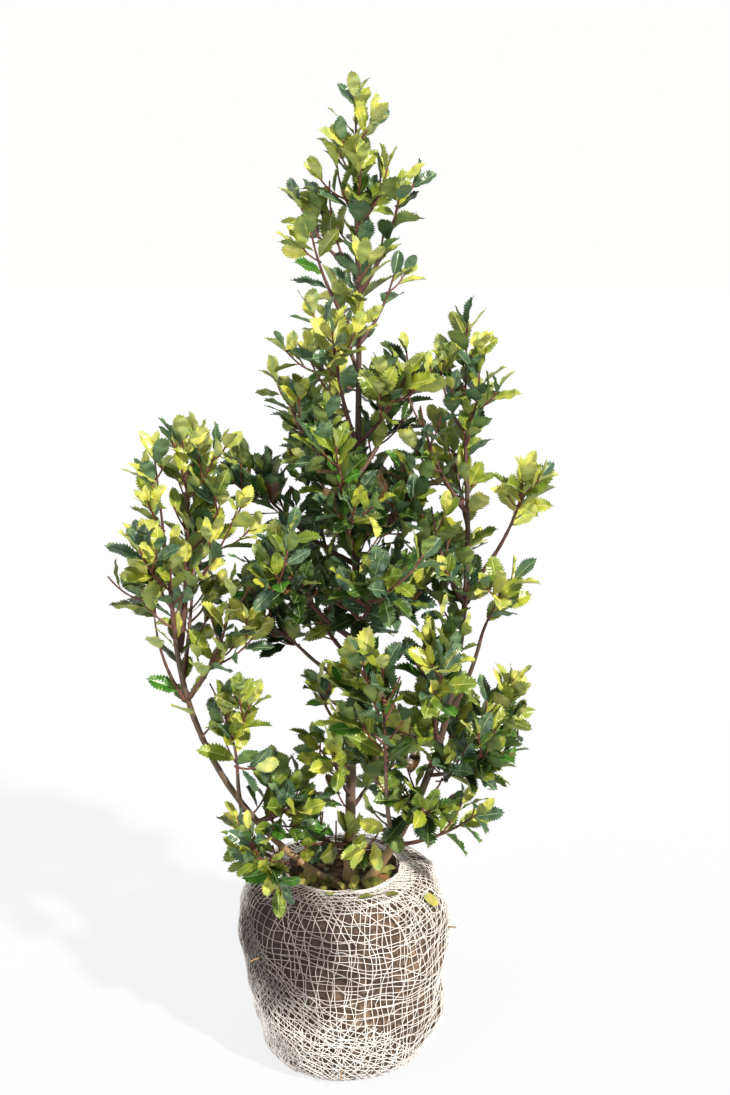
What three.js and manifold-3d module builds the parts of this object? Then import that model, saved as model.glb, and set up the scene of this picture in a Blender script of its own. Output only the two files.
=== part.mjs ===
// A young holly shrub, 1.2 m tall, lifted for planting with its root ball held in twine netting.
// Millimetres, +Z up, +X to the right and +Y away from the front. The origin is the middle of the
// flat underside that the root ball stands on.
//
// Three stems rise from the ball: a trunk that runs on as the leader, a second stem on the right and
// a bough that sweeps out to the left. Shorter boughs spring from them. Every mass of foliage is one
// leafy spray: a stem that starts just clear of its limb, side shoots, and leaves in a spiral.

import * as THREE from "three";
import { mergeVertices } from "three/addons/utils/BufferGeometryUtils.js";
import Module from "manifold-3d";

const wasm = await Module();
wasm.setup();

// ---------------------------------------------------------------- driving sizes

const GAP = 0.3; // between pieces that meet

// The ball is a drum: each row of its side and its shoulder is a radius and a height, and each of
// the two is one cubic curve.
const BALL = {
  side: [[84, 0], [114, 4], [123, 60], [128, 141]], // from the flat foot up to its widest
  shoulder: [[128, 141], [134, 214], [118, 243], [94, 243]], // and in to the ledge on top
  sideSteps: 7,
  shoulderSteps: 6,
  ledge: 243, // height of the top, where the netting is gathered
  soil: 228, // height of the bare soil inside the gathered netting
  opening: 67, // radius of the ledge's inner edge
  hollow: 4, // how much narrower the soil is than the opening over it
  lean: 9, // how far the lower side sits to the right
  leanFrom: 30, // it leans in full from this height
  leanTo: 196, // and no more from this one
  lump: 0.015, // share of the radius that each wave of the side swells and sinks by
  columns: 32,
};

const COLLAR = { radius: 74, width: 11, height: 6, columns: 24, wave: 0.16 };

// Limbs with a foot in the soil: a cubic curve from the foot to the tip, drawn towards two knees.
const STEMS = [
  {
    name: "trunk",
    foot: [8, 4, BALL.soil + GAP],
    knees: [[12, 2, 480], [24, 0, 780]],
    tip: [20, 0, 1020],
    radius: [7.0, 2.4],
    flare: 2.0,
    sides: 9,
    steps: 16,
  },
  {
    name: "right_stem",
    foot: [30, -12, BALL.soil + GAP],
    knees: [[56, -17, 270], [168, -18, 402]],
    tip: [149, 10, 745],
    radius: [6.3, 2.8],
    flare: 1.5,
    sides: 9,
    steps: 16,
  },
  {
    name: "left_bough",
    foot: [-15, -9, BALL.soil + GAP],
    knees: [[-58, -28, 262], [-182, -52, 374]],
    tip: [-196, -50, 560],
    radius: [4.7, 3.2],
    flare: 1.3,
    sides: 9,
    steps: 14,
  },
];

// Boughs that spring from another limb: `at` is the height where they leave it, `turn` the compass
// direction (0 right, 90 to the back, 180 left), and they end `reach` out and `rise` up from there.
const BOUGHS = [
  { name: "front_bough", on: "right_stem", at: 292, turn: -102, reach: 84, rise: 118, bow: 0.3,
    radius: [3.3, 2.2] },
  { name: "far_right_bough", on: "right_stem", at: 466, turn: -25, reach: 38, rise: 84, bow: 0.1,
    radius: [3.0, 2.2] },
  { name: "low_right_bough", on: "right_stem", at: 408, turn: -4, reach: 44, rise: 20, bow: 0.2,
    radius: [2.8, 2.1] },
  { name: "centre_left_bough", on: "trunk", at: 488, turn: -171, reach: 62, rise: 44, bow: 0.1,
    radius: [2.8, 2.1] },
  { name: "inner_left_bough", on: "left_bough", at: 345, turn: -100, reach: 20, rise: 50, bow: 0.2,
    radius: [2.8, 2.1] },
];
const BOUGH_SIDES = 7;
const BOUGH_STEPS = 5;

// Masses of foliage, placed as the boughs are; one with no `at` goes on from its limb's tip.
// `shoots` is the number of side shoots that the rule adds, `bare` the share of the stem with no
// leaves, and each of `arms` is one more side shoot: [share of the stem, turn, reach, rise]. A mass's
// node is called after its row, as foliage_top.
const SPRAYS = [
  // The leader, from the top down.
  { name: "top", on: "trunk", turn: 200, reach: 3, rise: 155, shoots: 0, bare: 0.04,
    arms: [[0.16, 190, 24, 66], [0.1, 12, 34, 66], [0.3, 85, 28, 46], [0.3, -80, 22, 40]] },
  { name: "upper_left", on: "trunk", at: 984, turn: 176, reach: 68, rise: 76, shoots: 1, bare: 0.3,
    arms: [[0.12, 150, 22, 92]] },
  { name: "upper_right", on: "trunk", at: 966, turn: -10, reach: 50, rise: 122, shoots: 1, bare: 0.4,
    arms: [[0.1, 0, 16, 62]] },
  { name: "upper_back", on: "trunk", at: 972, turn: 96, reach: 40, rise: 84, shoots: 2, bare: 0.1 },
  { name: "upper_front", on: "trunk", at: 900, turn: -88, reach: 34, rise: 96, shoots: 1, bare: 0.1 },
  { name: "high_left", on: "trunk", at: 916, turn: -160, reach: 58, rise: 118, shoots: 1, bare: 0.45 },
  { name: "high_right", on: "trunk", at: 906, turn: 32, reach: 48, rise: 72, shoots: 1, bare: 0.4 },
  { name: "high_back", on: "trunk", at: 872, turn: 112, reach: 76, rise: 88, shoots: 1, bare: 0.2 },
  { name: "left_shoulder", on: "trunk", at: 790, turn: -122, reach: 52, rise: 133, shoots: 2, bare: 0.15 },
  { name: "right_shoulder", on: "trunk", at: 790, turn: -32, reach: 66, rise: 80, shoots: 2, bare: 0.15 },
  // The dense middle of the crown, round the trunk.
  { name: "crown_left", on: "trunk", at: 716, turn: -163, reach: 80, rise: 118, shoots: 3, bare: 0.15 },
  { name: "crown_back_right", on: "trunk", at: 750, turn: 48, reach: 86, rise: 104, shoots: 3, bare: 0.15 },
  { name: "crown_back_left", on: "trunk", at: 705, turn: 132, reach: 96, rise: 108, shoots: 3, bare: 0.15 },
  { name: "crown_front", on: "trunk", at: 655, turn: -104, reach: 92, rise: 140, shoots: 3, bare: 0.2 },
  { name: "crown_right", on: "trunk", at: 668, turn: -36, reach: 84, rise: 62, shoots: 4, bare: 0.15 },
  { name: "centre_left_top", on: "trunk", at: 640, turn: 178, reach: 128, rise: 110, shoots: 3, bare: 0.2 },
  { name: "centre_back", on: "trunk", at: 610, turn: 86, reach: 122, rise: 112, shoots: 4, bare: 0.2 },
  { name: "centre_right", on: "trunk", at: 585, turn: -8, reach: 92, rise: 34, shoots: 3, bare: 0.15 },
  { name: "centre_front_left", on: "trunk", at: 548, turn: -134, reach: 130, rise: 132,
    shoots: 4, bare: 0.2 },
  { name: "centre_front", on: "trunk", at: 560, turn: -76, reach: 112, rise: 92, shoots: 3, bare: 0.2,
    arms: [[0.25, -150, 42, 56]] },
  { name: "centre_left", on: "centre_left_bough", turn: 178, reach: 64, rise: 48, shoots: 4, bare: 0.02 },
  { name: "lower_back_right", on: "trunk", at: 530, turn: 44, reach: 104, rise: 84, shoots: 3, bare: 0.2 },
  { name: "lower_back_left", on: "trunk", at: 516, turn: 132, reach: 112, rise: 96, shoots: 3, bare: 0.2 },
  // Low on the trunk.
  { name: "thin_left", on: "trunk", at: 420, turn: -140, reach: 56, rise: 80, shoots: 0, bare: 0.4 },
  { name: "low_front_left", on: "trunk", at: 346, turn: -112, reach: 66, rise: 86, shoots: 2, bare: 0.2 },
  { name: "low_centre", on: "trunk", at: 270, turn: -148, reach: 74, rise: 60, shoots: 3, bare: 0.1,
    arms: [[0.2, -62, 52, 34], [0.25, 150, 52, 22]] },
  { name: "low_back", on: "trunk", at: 322, turn: 60, reach: 100, rise: 60, shoots: 3, bare: 0.25 },
  // The right stem.
  { name: "right_top", on: "right_stem", turn: 100, reach: 8, rise: 176, shoots: 1, bare: 0.08,
    arms: [[0.34, -24, 16, 70], [0.32, -160, 32, 74]] },
  { name: "right_high_left", on: "right_stem", at: 706, turn: -164, reach: 60, rise: 122,
    shoots: 2, bare: 0.2 },
  { name: "right_high_back", on: "right_stem", at: 690, turn: 104, reach: 66, rise: 96,
    shoots: 3, bare: 0.15 },
  { name: "right_inner", on: "right_stem", at: 594, turn: -140, reach: 56, rise: 120, shoots: 3, bare: 0.1 },
  { name: "far_right_high", on: "right_stem", at: 612, turn: -10, reach: 70, rise: 134,
    shoots: 2, bare: 0.55 },
  { name: "right_back", on: "right_stem", at: 560, turn: 112, reach: 76, rise: 84, shoots: 2, bare: 0.2 },
  { name: "far_right", on: "far_right_bough", turn: -21, reach: 40, rise: 80, shoots: 2, bare: 0.25 },
  { name: "right_front", on: "right_stem", at: 412, turn: -104, reach: 62, rise: 150, shoots: 3, bare: 0.1,
    arms: [[0.12, -150, 52, 16]] },
  { name: "low_right", on: "low_right_bough", turn: -4, reach: 40, rise: 22, shoots: 3, bare: 0.02 },
  { name: "low_right_front", on: "right_stem", at: 376, turn: -42, reach: 92, rise: 52,
    shoots: 3, bare: 0.12, arms: [[0.3, -112, 52, 8], [0.35, 8, 42, -2]] },
  { name: "low_right_back", on: "right_stem", at: 380, turn: 60, reach: 88, rise: 48, shoots: 3, bare: 0.2 },
  { name: "low_front", on: "right_stem", at: 322, turn: -84, reach: 82, rise: 60, shoots: 3, bare: 0.12,
    arms: [[0.3, -160, 56, -16], [0.55, -14, 44, 22]] },
  { name: "low_right_twig", on: "right_stem", at: 286, turn: -24, reach: 108, rise: 56,
    shoots: 2, bare: 0.4 },
  { name: "front_spray", on: "front_bough", turn: -108, reach: 20, rise: 140, shoots: 3, bare: 0.02 },
  // The left bough.
  { name: "left_top", on: "left_bough", turn: -160, reach: 18, rise: 218, shoots: 3, bare: 0.1,
    arms: [[0.06, 180, 40, 42], [0.2, 176, 34, 66], [0.22, 2, 80, 118]] },
  { name: "left_tall", on: "left_bough", at: 548, turn: 66, reach: 26, rise: 244, shoots: 3, bare: 0.2,
    arms: [[0.45, 0, 40, 60]] },
  { name: "left_outer", on: "left_bough", at: 492, turn: -165, reach: 34, rise: 92, shoots: 0, bare: 0.6 },
  { name: "left_inner", on: "left_bough", at: 488, turn: -28, reach: 68, rise: 134, shoots: 2, bare: 0.15 },
  { name: "left_back", on: "left_bough", at: 510, turn: 84, reach: 78, rise: 124, shoots: 3, bare: 0.2 },
  { name: "inner_left", on: "inner_left_bough", turn: -160, reach: 30, rise: 112, shoots: 2, bare: 0.02,
    arms: [[0.06, -20, 22, 2]] },
  { name: "low_left", on: "left_bough", at: 320, turn: -24, reach: 56, rise: 38, shoots: 3, bare: 0.1,
    arms: [[0.3, -86, 44, 8]] },
  { name: "low_left_back", on: "left_bough", at: 318, turn: 62, reach: 80, rise: 16, shoots: 3, bare: 0.15 },
  { name: "over_the_ball", on: "left_bough", at: 264, turn: -124, reach: 86, rise: 36,
    bow: 0.05, shoots: 4, bare: 0.2, arms: [[0.25, 168, 58, 36]] },
];

// How a spray grows.
const SPRAY = {
  bow: 0.14, // how far a stem sags below its chord, as a share of it
  thickness: [1.5, 0.013], // radius of a stem at its base: a fixed part, and a share of its length
  tipRadius: 1.4, // to the corners of a three-sided twig, as thick as a round one of 0.9
  sideRadius: 1.9,
  sideBare: 0.12,
  rootRadius: 0.8, // a side shoot starts this thin inside its stem
  rootLength: 5, // and has its full thickness this far on
  ringSpacing: 40,
  sideAngle: 48, // between a side shoot and the stem it leaves
  sideShare: 0.46, // length of a side shoot, as a share of its stem's
  sideLength: [30, 74],
  sideZone: [0.2, 0.86], // the stretch of the stem that side shoots leave, in equal parts
  sideScatter: 0.4, // how far a side shoot strays along its part
  sideTurn: 0.5, // and round the stem, in radians
  sideTaper: [1.15, 0.5], // side shoots get shorter up the stem: at its base, and by how much
  sizeSpread: 0.2, // how much longer or shorter than the rule one may be
  lift: 0.42, // pull of a side shoot's tip towards the sky
  spiral: 137.5, // turn from one leaf to the next
};
const LEAF = {
  length: 38,
  width: 0.6, // share of the length
  widest: 0.55, // place of the widest point, as a share of the length
  fold: 0.1, // height of the edges over the midrib, as a share of the length
  droop: 0.3, // how far the tip hangs under the midrib, as a share of the fold
  thickness: 0.8,
  spacing: 9, // along the shoot, from one leaf to the next
  tipSpacing: 3, // between the three youngest leaves
  sunk: 2.2, // how far inside the twig's end the youngest leaf is rooted
  kept: 2, // one leaf in this many is made, larger
  enlarged: 1.18,
  mostFaces: 26, // a leaf that adds more has run into another, and is left out
  angles: [10, 24, 34, 42, 50], // from the shoot, youngest leaf first
  angleSpread: 14,
  turnSpread: 0.5, // radians
  young: [0.78, 0.08], // size of the youngest leaf, and how much each of the next three gains
  sizeSpread: 0.16,
  roll: 65, // most that a blade turns about its midrib, either way
};
const CLEAR = { neighbour: 1.2, limb: 4, shoot: 6, ball: 6, leaf: 4, sample: 5 };
const FLARE_LENGTH = 16; // a stem's foot widens over about this much of its length

const COLOURS = {
  soil: 0x5a4634,
  twine: 0xd9d0bd,
  bark: 0x6d5a49,
  leaf: 0x4f7035,
};

// ---------------------------------------------------------------- vectors and random draws

const UP = new THREE.Vector3(0, 0, 1);
const radians = THREE.MathUtils.degToRad;
const vector = (p) => new THREE.Vector3(...p);
const heading = (turn) => new THREE.Vector3(Math.cos(radians(turn)), Math.sin(radians(turn)), 0);

// A 32-bit linear congruential generator: the same draws on every machine.
function randomStream(seed) {
  let state = (seed * 7919 + 104729) >>> 0;
  return () => {
    state = (Math.imul(state, 1664525) + 1013904223) >>> 0;
    return state / 4294967296;
  };
}

// Directions round a curve where it runs along `axis`: a is level and square to the curve's own
// upright plane, so angles counted from it stay true from one end of the curve to the other.
function directionRound(curve, axis, angle) {
  const chord = curve.getPoint(1).sub(curve.getPoint(0));
  const a = new THREE.Vector3().crossVectors(UP, chord).normalize();
  a.addScaledVector(axis, -a.dot(axis)).normalize();
  const b = new THREE.Vector3().crossVectors(axis, a);
  return a.multiplyScalar(Math.cos(angle)).addScaledVector(b, Math.sin(angle));
}

// Twigs are three-sided, and what grows on one springs from the flat nearest to its own direction.
const TWIG_SIDES = 3;
function nearestFlat(angle) {
  const flat = (2 * Math.PI) / TWIG_SIDES;
  return flat * (Math.round(angle / flat - 0.5) + 0.5);
}

// ---------------------------------------------------------------- closed meshes and solids

function closedGeometry(points, faces) {
  const geometry = new THREE.BufferGeometry();
  geometry.setAttribute("position", new THREE.Float32BufferAttribute(points, 3));
  geometry.setIndex(faces);
  return geometry;
}

function solidOf(geometry) {
  const bare = geometry.clone();
  bare.deleteAttribute("normal");
  bare.deleteAttribute("uv");
  const merged = mergeVertices(bare, 1e-4);
  return new wasm.Manifold(
    new wasm.Mesh({
      numProp: 3,
      vertProperties: merged.attributes.position.array,
      triVerts: new Uint32Array(merged.index.array),
    }),
  );
}

function geometryOf(solid) {
  const mesh = solid.getMesh();
  const geometry = new THREE.BufferGeometry();
  geometry.setAttribute("position", new THREE.BufferAttribute(mesh.vertProperties, 3));
  geometry.setIndex(new THREE.BufferAttribute(mesh.triVerts, 1));
  return geometry;
}

const evenRings = (steps) => Array.from({ length: steps + 1 }, (_, i) => i / steps);

// A tapering tube with flat closed ends; its rings don't twist along the curve. The first ring is
// square to `footAxis` where that is given.
function taperedTube(curve, radiusAt, sides, rings, footAxis) {
  const points = [];
  const faces = [];
  const steps = rings.length - 1;
  for (const t of rings) {
    const axis = t === 0 && footAxis ? footAxis : curve.getTangent(t);
    for (let j = 0; j < sides; j++) {
      const outward = directionRound(curve, axis, (2 * Math.PI * j) / sides);
      const p = curve.getPoint(t).addScaledVector(outward, radiusAt(t));
      points.push(p.x, p.y, p.z);
    }
  }
  for (let i = 0; i < steps; i++)
    for (let j = 0; j < sides; j++) {
      const a = i * sides + j;
      const b = i * sides + ((j + 1) % sides);
      faces.push(a, b, b + sides, a, b + sides, a + sides);
    }
  const last = steps * sides;
  for (let j = 1; j < sides - 1; j++) {
    faces.push(0, j + 1, j);
    faces.push(last, last + j, last + j + 1);
  }
  return closedGeometry(points, faces);
}

// ---------------------------------------------------------------- root ball

const flatPoint = ([radius, height]) => new THREE.Vector2(radius, height);

// Radius and height from the middle of the foot, up the side and down to the middle of the soil.
function ballProfile() {
  const { ledge, soil, opening, hollow } = BALL;
  const side = new THREE.CubicBezierCurve(...BALL.side.map(flatPoint));
  const shoulder = new THREE.CubicBezierCurve(...BALL.shoulder.map(flatPoint));
  const within = [[opening, ledge], [opening - hollow, soil], [0, soil]];
  return [
    new THREE.Vector2(0, 0),
    ...side.getPoints(BALL.sideSteps),
    ...shoulder.getPoints(BALL.shoulderSteps).slice(1),
    ...within.map(flatPoint),
  ];
}

// The side swells and sinks with the clods under the netting; the flat foot and the top do not.
function swellAt(angle, z) {
  const share = Math.sin((Math.PI * Math.min(z, BALL.ledge)) / BALL.ledge);
  const waves =
    Math.sin(3 * angle + z / 60) + 0.6 * Math.sin(5 * angle - z / 38 + 1) + 0.4 * Math.sin(8 * angle + 2);
  return 1 + BALL.lump * share * waves;
}

function leanAt(z) {
  return BALL.lean * Math.max(0, 1 - z / BALL.leanTo) * Math.min(1, z / BALL.leanFrom);
}

function rootBall() {
  const geometry = new THREE.LatheGeometry(ballProfile(), BALL.columns);
  geometry.rotateX(Math.PI / 2); // the lathe turns round Y, the ball round Z
  const place = geometry.attributes.position;
  for (let i = 0; i < place.count; i++) {
    const [x, y, z] = [place.getX(i), place.getY(i), Math.max(place.getZ(i), 0)];
    const swell = swellAt(Math.atan2(y, x), z);
    place.setXYZ(i, x * swell + leanAt(z), y * swell, z);
  }
  return geometry;
}

// The gathered edge of the netting lies on the ledge as a loose roll.
function netCollar() {
  const { radius, width, height, columns, wave } = COLLAR;
  const floor = BALL.ledge + GAP;
  const section = new THREE.Path()
    .moveTo(radius - width / 2, floor)
    .lineTo(radius + width / 2, floor)
    .quadraticCurveTo(radius + width / 2, floor + height, radius, floor + height)
    .quadraticCurveTo(radius - width / 2, floor + height, radius - width / 2, floor);
  const geometry = new THREE.LatheGeometry(section.getPoints(3), columns);
  geometry.rotateX(Math.PI / 2);
  const place = geometry.attributes.position;
  for (let i = 0; i < place.count; i++) {
    const angle = Math.atan2(place.getY(i), place.getX(i));
    const lift = place.getZ(i) - floor;
    place.setZ(i, floor + lift * (1 + wave * Math.sin(3 * angle + 1) + wave * Math.sin(7 * angle)));
  }
  return geometry;
}

// ---------------------------------------------------------------- limbs

const limbs = new Map();

function limbRadius({ radius, flare = 0 }, length) {
  const flareAt = (t) => flare * Math.exp((-t * length) / FLARE_LENGTH);
  return (t) => THREE.MathUtils.lerp(...radius, t) + flareAt(t);
}

function addLimb(row, curve, sides, steps, footAxis) {
  const radiusAt = limbRadius(row, curve.getLength());
  const geometry = taperedTube(curve, radiusAt, sides, evenRings(steps), footAxis);
  limbs.set(row.name, { curve, radiusAt, geometry });
}

// Where a limb passes a height: the limbs climb all the way, so halving finds it.
function shareAtHeight(curve, height) {
  let [low, high] = [0, 1];
  for (let i = 0; i < 30; i++) {
    const middle = (low + high) / 2;
    if (curve.getPoint(middle).z < height) low = middle;
    else high = middle;
  }
  return low;
}

// The curve of a bough or a spray's stem. It starts GAP clear of its limb's bark, or of its tip.
function springFrom(row, thickness) {
  const limb = limbs.get(row.on);
  const out = heading(row.turn);
  const share = row.at === undefined ? 1 : shareAtHeight(limb.curve, row.at);
  const base = limb.curve.getPoint(share);
  const along = limb.curve.getTangent(share);
  const end = base.clone().addScaledVector(out, row.reach).addScaledVector(UP, row.rise);
  if (row.at === undefined) {
    const start = base.addScaledVector(along, GAP);
    const onward = start.clone().addScaledVector(along, 0.4 * start.distanceTo(end));
    return new THREE.QuadraticBezierCurve3(start, onward, end);
  }
  const sag = row.bow ?? SPRAY.bow;
  const middle = base.clone().add(end).multiplyScalar(0.5);
  middle.addScaledVector(out, sag * row.rise).addScaledVector(UP, -sag * row.reach);
  const first = middle.clone().sub(base).normalize();
  const slant = Math.abs(first.dot(along));
  const square = out.clone().addScaledVector(along, -out.dot(along)).normalize();
  base.addScaledVector(square, limb.radiusAt(share) + GAP + thickness * slant);
  return new THREE.QuadraticBezierCurve3(base, middle, end);
}

for (const row of STEMS) {
  const curve = new THREE.CubicBezierCurve3(vector(row.foot), ...row.knees.map(vector), vector(row.tip));
  addLimb(row, curve, row.sides, row.steps, UP);
}
for (const row of BOUGHS) addLimb(row, springFrom(row, row.radius[0]), BOUGH_SIDES, BOUGH_STEPS);

// ---------------------------------------------------------------- keeping to one's own space

function samplesAlong(curve, step) {
  const count = Math.max(2, Math.ceil(curve.getLength() / step));
  return curve.getPoints(count);
}

const limbSamples = [...limbs.values()].flatMap(({ curve, radiusAt }) => {
  const points = samplesAlong(curve, CLEAR.sample);
  return points.map((point, i) => ({ point, radius: radiusAt(i / (points.length - 1)) }));
});

const clearOfLimbs = (p, room) =>
  limbSamples.every(({ point, radius }) => p.distanceTo(point) > radius + room);

// What stays clear of the ball is outside or above every ring of it: its shoulder's and the netting's.
const BALL_RINGS = [
  ...new THREE.CubicBezierCurve(...BALL.shoulder.map(flatPoint)).getPoints(BALL.shoulderSteps),
  new THREE.Vector2(COLLAR.radius + COLLAR.width / 2, BALL.ledge + COLLAR.height),
];

function clearOfBall(p) {
  const out = Math.hypot(p.x, p.y) - CLEAR.ball;
  return BALL_RINGS.every((ring) => out > ring.x || p.z - CLEAR.ball > ring.y);
}

const nearest = (p, points) => points.reduce((least, q) => Math.min(least, p.distanceToSquared(q)), Infinity);

// A spray's space is where its own shoots are nearer than any other spray's.
function insideOwnSpace(p, spray, sprays, room) {
  const own = Math.sqrt(nearest(p, spray.samples));
  return sprays.every((other) => other === spray || Math.sqrt(nearest(p, other.samples)) > own + room);
}

// ---------------------------------------------------------------- sprays

// The rings of a twig's tube. A side shoot has one more, so that it starts as a slim root inside its
// stem and is at full thickness where it comes out.
function twigRings({ curve, isSide }) {
  const length = curve.getLength();
  const rings = evenRings(Math.max(2, Math.round(length / SPRAY.ringSpacing)));
  if (isSide) rings.splice(1, 0, SPRAY.rootLength / length);
  return rings;
}

// The middle of a twig's tube, which runs straight from ring to ring: what grows there is rooted in it.
function middleOf(shoot, t) {
  const rings = twigRings(shoot);
  const i = Math.max(1, rings.findIndex((ring) => ring >= t));
  const [from, to] = [rings[i - 1], rings[i]];
  return shoot.curve.getPoint(from).lerp(shoot.curve.getPoint(to), (t - from) / (to - from));
}

// A side shoot leaves its stem at an angle and turns up towards the light.
function sideShoot(stem, share, turn, length) {
  const start = middleOf(stem, share);
  const along = stem.curve.getTangent(share);
  const angle = radians(SPRAY.sideAngle);
  const first = along.clone().multiplyScalar(Math.cos(angle));
  first.addScaledVector(directionRound(stem.curve, along, nearestFlat(turn)), Math.sin(angle));
  const last = first.clone().addScaledVector(UP, SPRAY.lift).normalize();
  const middle = start.clone().addScaledVector(first, length / 2);
  return new THREE.QuadraticBezierCurve3(start, middle, start.clone().addScaledVector(last, length));
}

function armShoot(stem, [share, turn, reach, rise]) {
  const start = middleOf(stem, share);
  const out = heading(turn);
  const end = start.clone().addScaledVector(out, reach).addScaledVector(UP, rise);
  const middle = start.clone().add(end).multiplyScalar(0.5);
  middle.addScaledVector(out, SPRAY.bow * rise).addScaledVector(UP, -SPRAY.bow * reach);
  return new THREE.QuadraticBezierCurve3(start, middle, end);
}

const sideOf = (curve) => ({ curve, radius: SPRAY.sideRadius, bare: SPRAY.sideBare, isSide: true });

// First the stems and arms of all sprays, so that each side shoot can be tested against its neighbours.
function startSpray(row, number) {
  const length = Math.hypot(row.reach, row.rise);
  const [thinnest, perLength] = SPRAY.thickness;
  const radius = row.at === undefined ? limbs.get(row.on).radiusAt(1) : thinnest + perLength * length;
  const curve = springFrom(row, radius);
  const draw = randomStream(number + 1);
  const stem = { curve, radius, bare: row.bare, isSide: false };
  const shoots = [stem, ...(row.arms ?? []).map((arm) => sideOf(armShoot(stem, arm)))];
  const samples = shoots.flatMap((shoot) => samplesAlong(shoot.curve, CLEAR.sample));
  return { row, draw, shoots, samples };
}

function addSideShoots(spray, sprays) {
  const { row, draw } = spray;
  const stem = spray.shoots[0];
  const start = draw() * 2 * Math.PI;
  const { sideZone, sideScatter, sideTaper, sizeSpread } = SPRAY;
  const found = [];
  for (let i = 0; i < row.shoots; i++) {
    const part = (i + 0.5 + sideScatter * (draw() - 0.5)) / row.shoots;
    const share = THREE.MathUtils.lerp(...sideZone, part);
    const turn = start + i * radians(SPRAY.spiral) + SPRAY.sideTurn * draw();
    const wanted = stem.curve.getLength() * SPRAY.sideShare * (sideTaper[0] - sideTaper[1] * share);
    const length = THREE.MathUtils.clamp(wanted * (1 + sizeSpread * (2 * draw() - 1)), ...SPRAY.sideLength);
    found.push(sideShoot(stem, share, turn, length));
  }
  for (const curve of found) {
    const points = samplesAlong(curve, CLEAR.sample).slice(1);
    const fits = points.every(
      (p) => clearOfLimbs(p, CLEAR.limb) && clearOfBall(p) && insideOwnSpace(p, spray, sprays, CLEAR.shoot),
    );
    if (fits) spray.shoots.push(sideOf(curve));
  }
}

// A leaf as six faces: a diamond folded along its midrib. Its root is an upright edge sunk in the
// twig, so that the joint is as thick as the leaf, and the blade thins towards its tip.
function leafPoints(root, along, face, length) {
  const across = new THREE.Vector3().crossVectors(along, face);
  const at = (share, side, height) =>
    root
      .clone()
      .addScaledVector(along, share * length)
      .addScaledVector(across, (side * LEAF.width * length) / 2)
      .addScaledVector(face, height);
  const fold = LEAF.fold * length;
  return {
    rootTop: at(0, 0, LEAF.thickness / 2),
    rootUnder: at(0, 0, -LEAF.thickness / 2),
    left: at(LEAF.widest, 1, fold),
    right: at(LEAF.widest, -1, fold),
    tip: at(1, 0, -LEAF.droop * fold),
    middle: at(LEAF.widest, 0, 0),
  };
}

function leafGeometry({ rootTop, rootUnder, left, right, tip }) {
  const points = [rootTop, rootUnder, left, right, tip].flatMap((p) => [p.x, p.y, p.z]);
  const faces = [0, 2, 4, 0, 4, 3, 1, 4, 2, 1, 3, 4, 0, 1, 2, 0, 3, 1];
  return closedGeometry(points, faces);
}

// The leaves of a shoot, counted down from its tip: three close together, then evenly spaced.
function leavesOf(shoot, draw) {
  const { curve, bare } = shoot;
  const length = curve.getLength();
  const start = draw() * 2 * Math.PI;
  const leaves = [];
  for (let k = 0; ; k++) {
    const fromTip = LEAF.sunk + Math.min(k, 2) * LEAF.tipSpacing + Math.max(k - 2, 0) * LEAF.spacing;
    const t = 1 - fromTip / length;
    if (t < bare) return leaves;
    const turn = start + k * radians(SPRAY.spiral) + LEAF.turnSpread * (draw() - 0.5);
    const lean = LEAF.angles[Math.min(k, LEAF.angles.length - 1)];
    const tilt = radians(lean + LEAF.angleSpread * (draw() - 0.5));
    const grown = LEAF.young[0] + LEAF.young[1] * Math.min(k, 3);
    const size = LEAF.length * grown * (1 + LEAF.sizeSpread * (2 * draw() - 1));
    const axis = curve.getTangent(t);
    const along = axis.clone().multiplyScalar(Math.cos(tilt));
    along.addScaledVector(directionRound(curve, axis, nearestFlat(turn)), Math.sin(tilt)).normalize();
    const roll = radians(LEAF.roll) * (2 * draw() - 1);
    const upper = axis.clone().addScaledVector(along, -axis.dot(along)).normalize();
    const face = upper.applyAxisAngle(along, roll);
    leaves.push(leafPoints(middleOf(shoot, t), along, face, size * LEAF.enlarged));
  }
}

function leafFits({ rootTop, left, right, tip, middle }, spray, sprays) {
  const between = (a, b) => a.clone().lerp(b, 0.5);
  const outer = [left, right, tip, middle, between(middle, tip), between(left, tip), between(right, tip)];
  return (
    [...outer, between(rootTop, middle)].every((p) => clearOfLimbs(p, CLEAR.limb) && clearOfBall(p)) &&
    outer.every((p) => insideOwnSpace(p, spray, sprays, CLEAR.neighbour)) &&
    outer.every((p) => nearest(p, spray.leafSamples) > CLEAR.leaf ** 2)
  );
}

function twigGeometry(shoot) {
  const { curve, radius, isSide } = shoot;
  const radiusAt = (t) =>
    isSide && t === 0 ? SPRAY.rootRadius : THREE.MathUtils.lerp(radius, SPRAY.tipRadius, t);
  return taperedTube(curve, radiusAt, TWIG_SIDES, twigRings(shoot));
}

function spraySolid(spray, sprays) {
  let solid;
  spray.leafSamples = [];
  for (const shoot of spray.shoots) {
    const twig = solidOf(twigGeometry(shoot));
    solid = solid ? solid.add(twig) : twig;
    let passed = LEAF.kept;
    for (const leaf of leavesOf(shoot, spray.draw)) {
      passed++;
      if (passed < LEAF.kept || !leafFits(leaf, spray, sprays)) continue;
      const joined = solid.add(solidOf(leafGeometry(leaf)));
      if (joined.numTri() > solid.numTri() + LEAF.mostFaces) continue; // it would cut through another
      solid = joined;
      passed = 0;
      spray.leafSamples.push(leaf.left, leaf.right, leaf.tip, leaf.middle);
    }
  }
  return solid;
}

// ---------------------------------------------------------------- the shrub

const group = new THREE.Group();

function addMesh(name, geometry, material) {
  const mesh = new THREE.Mesh(geometry, material);
  mesh.name = name;
  group.add(mesh);
}

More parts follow.
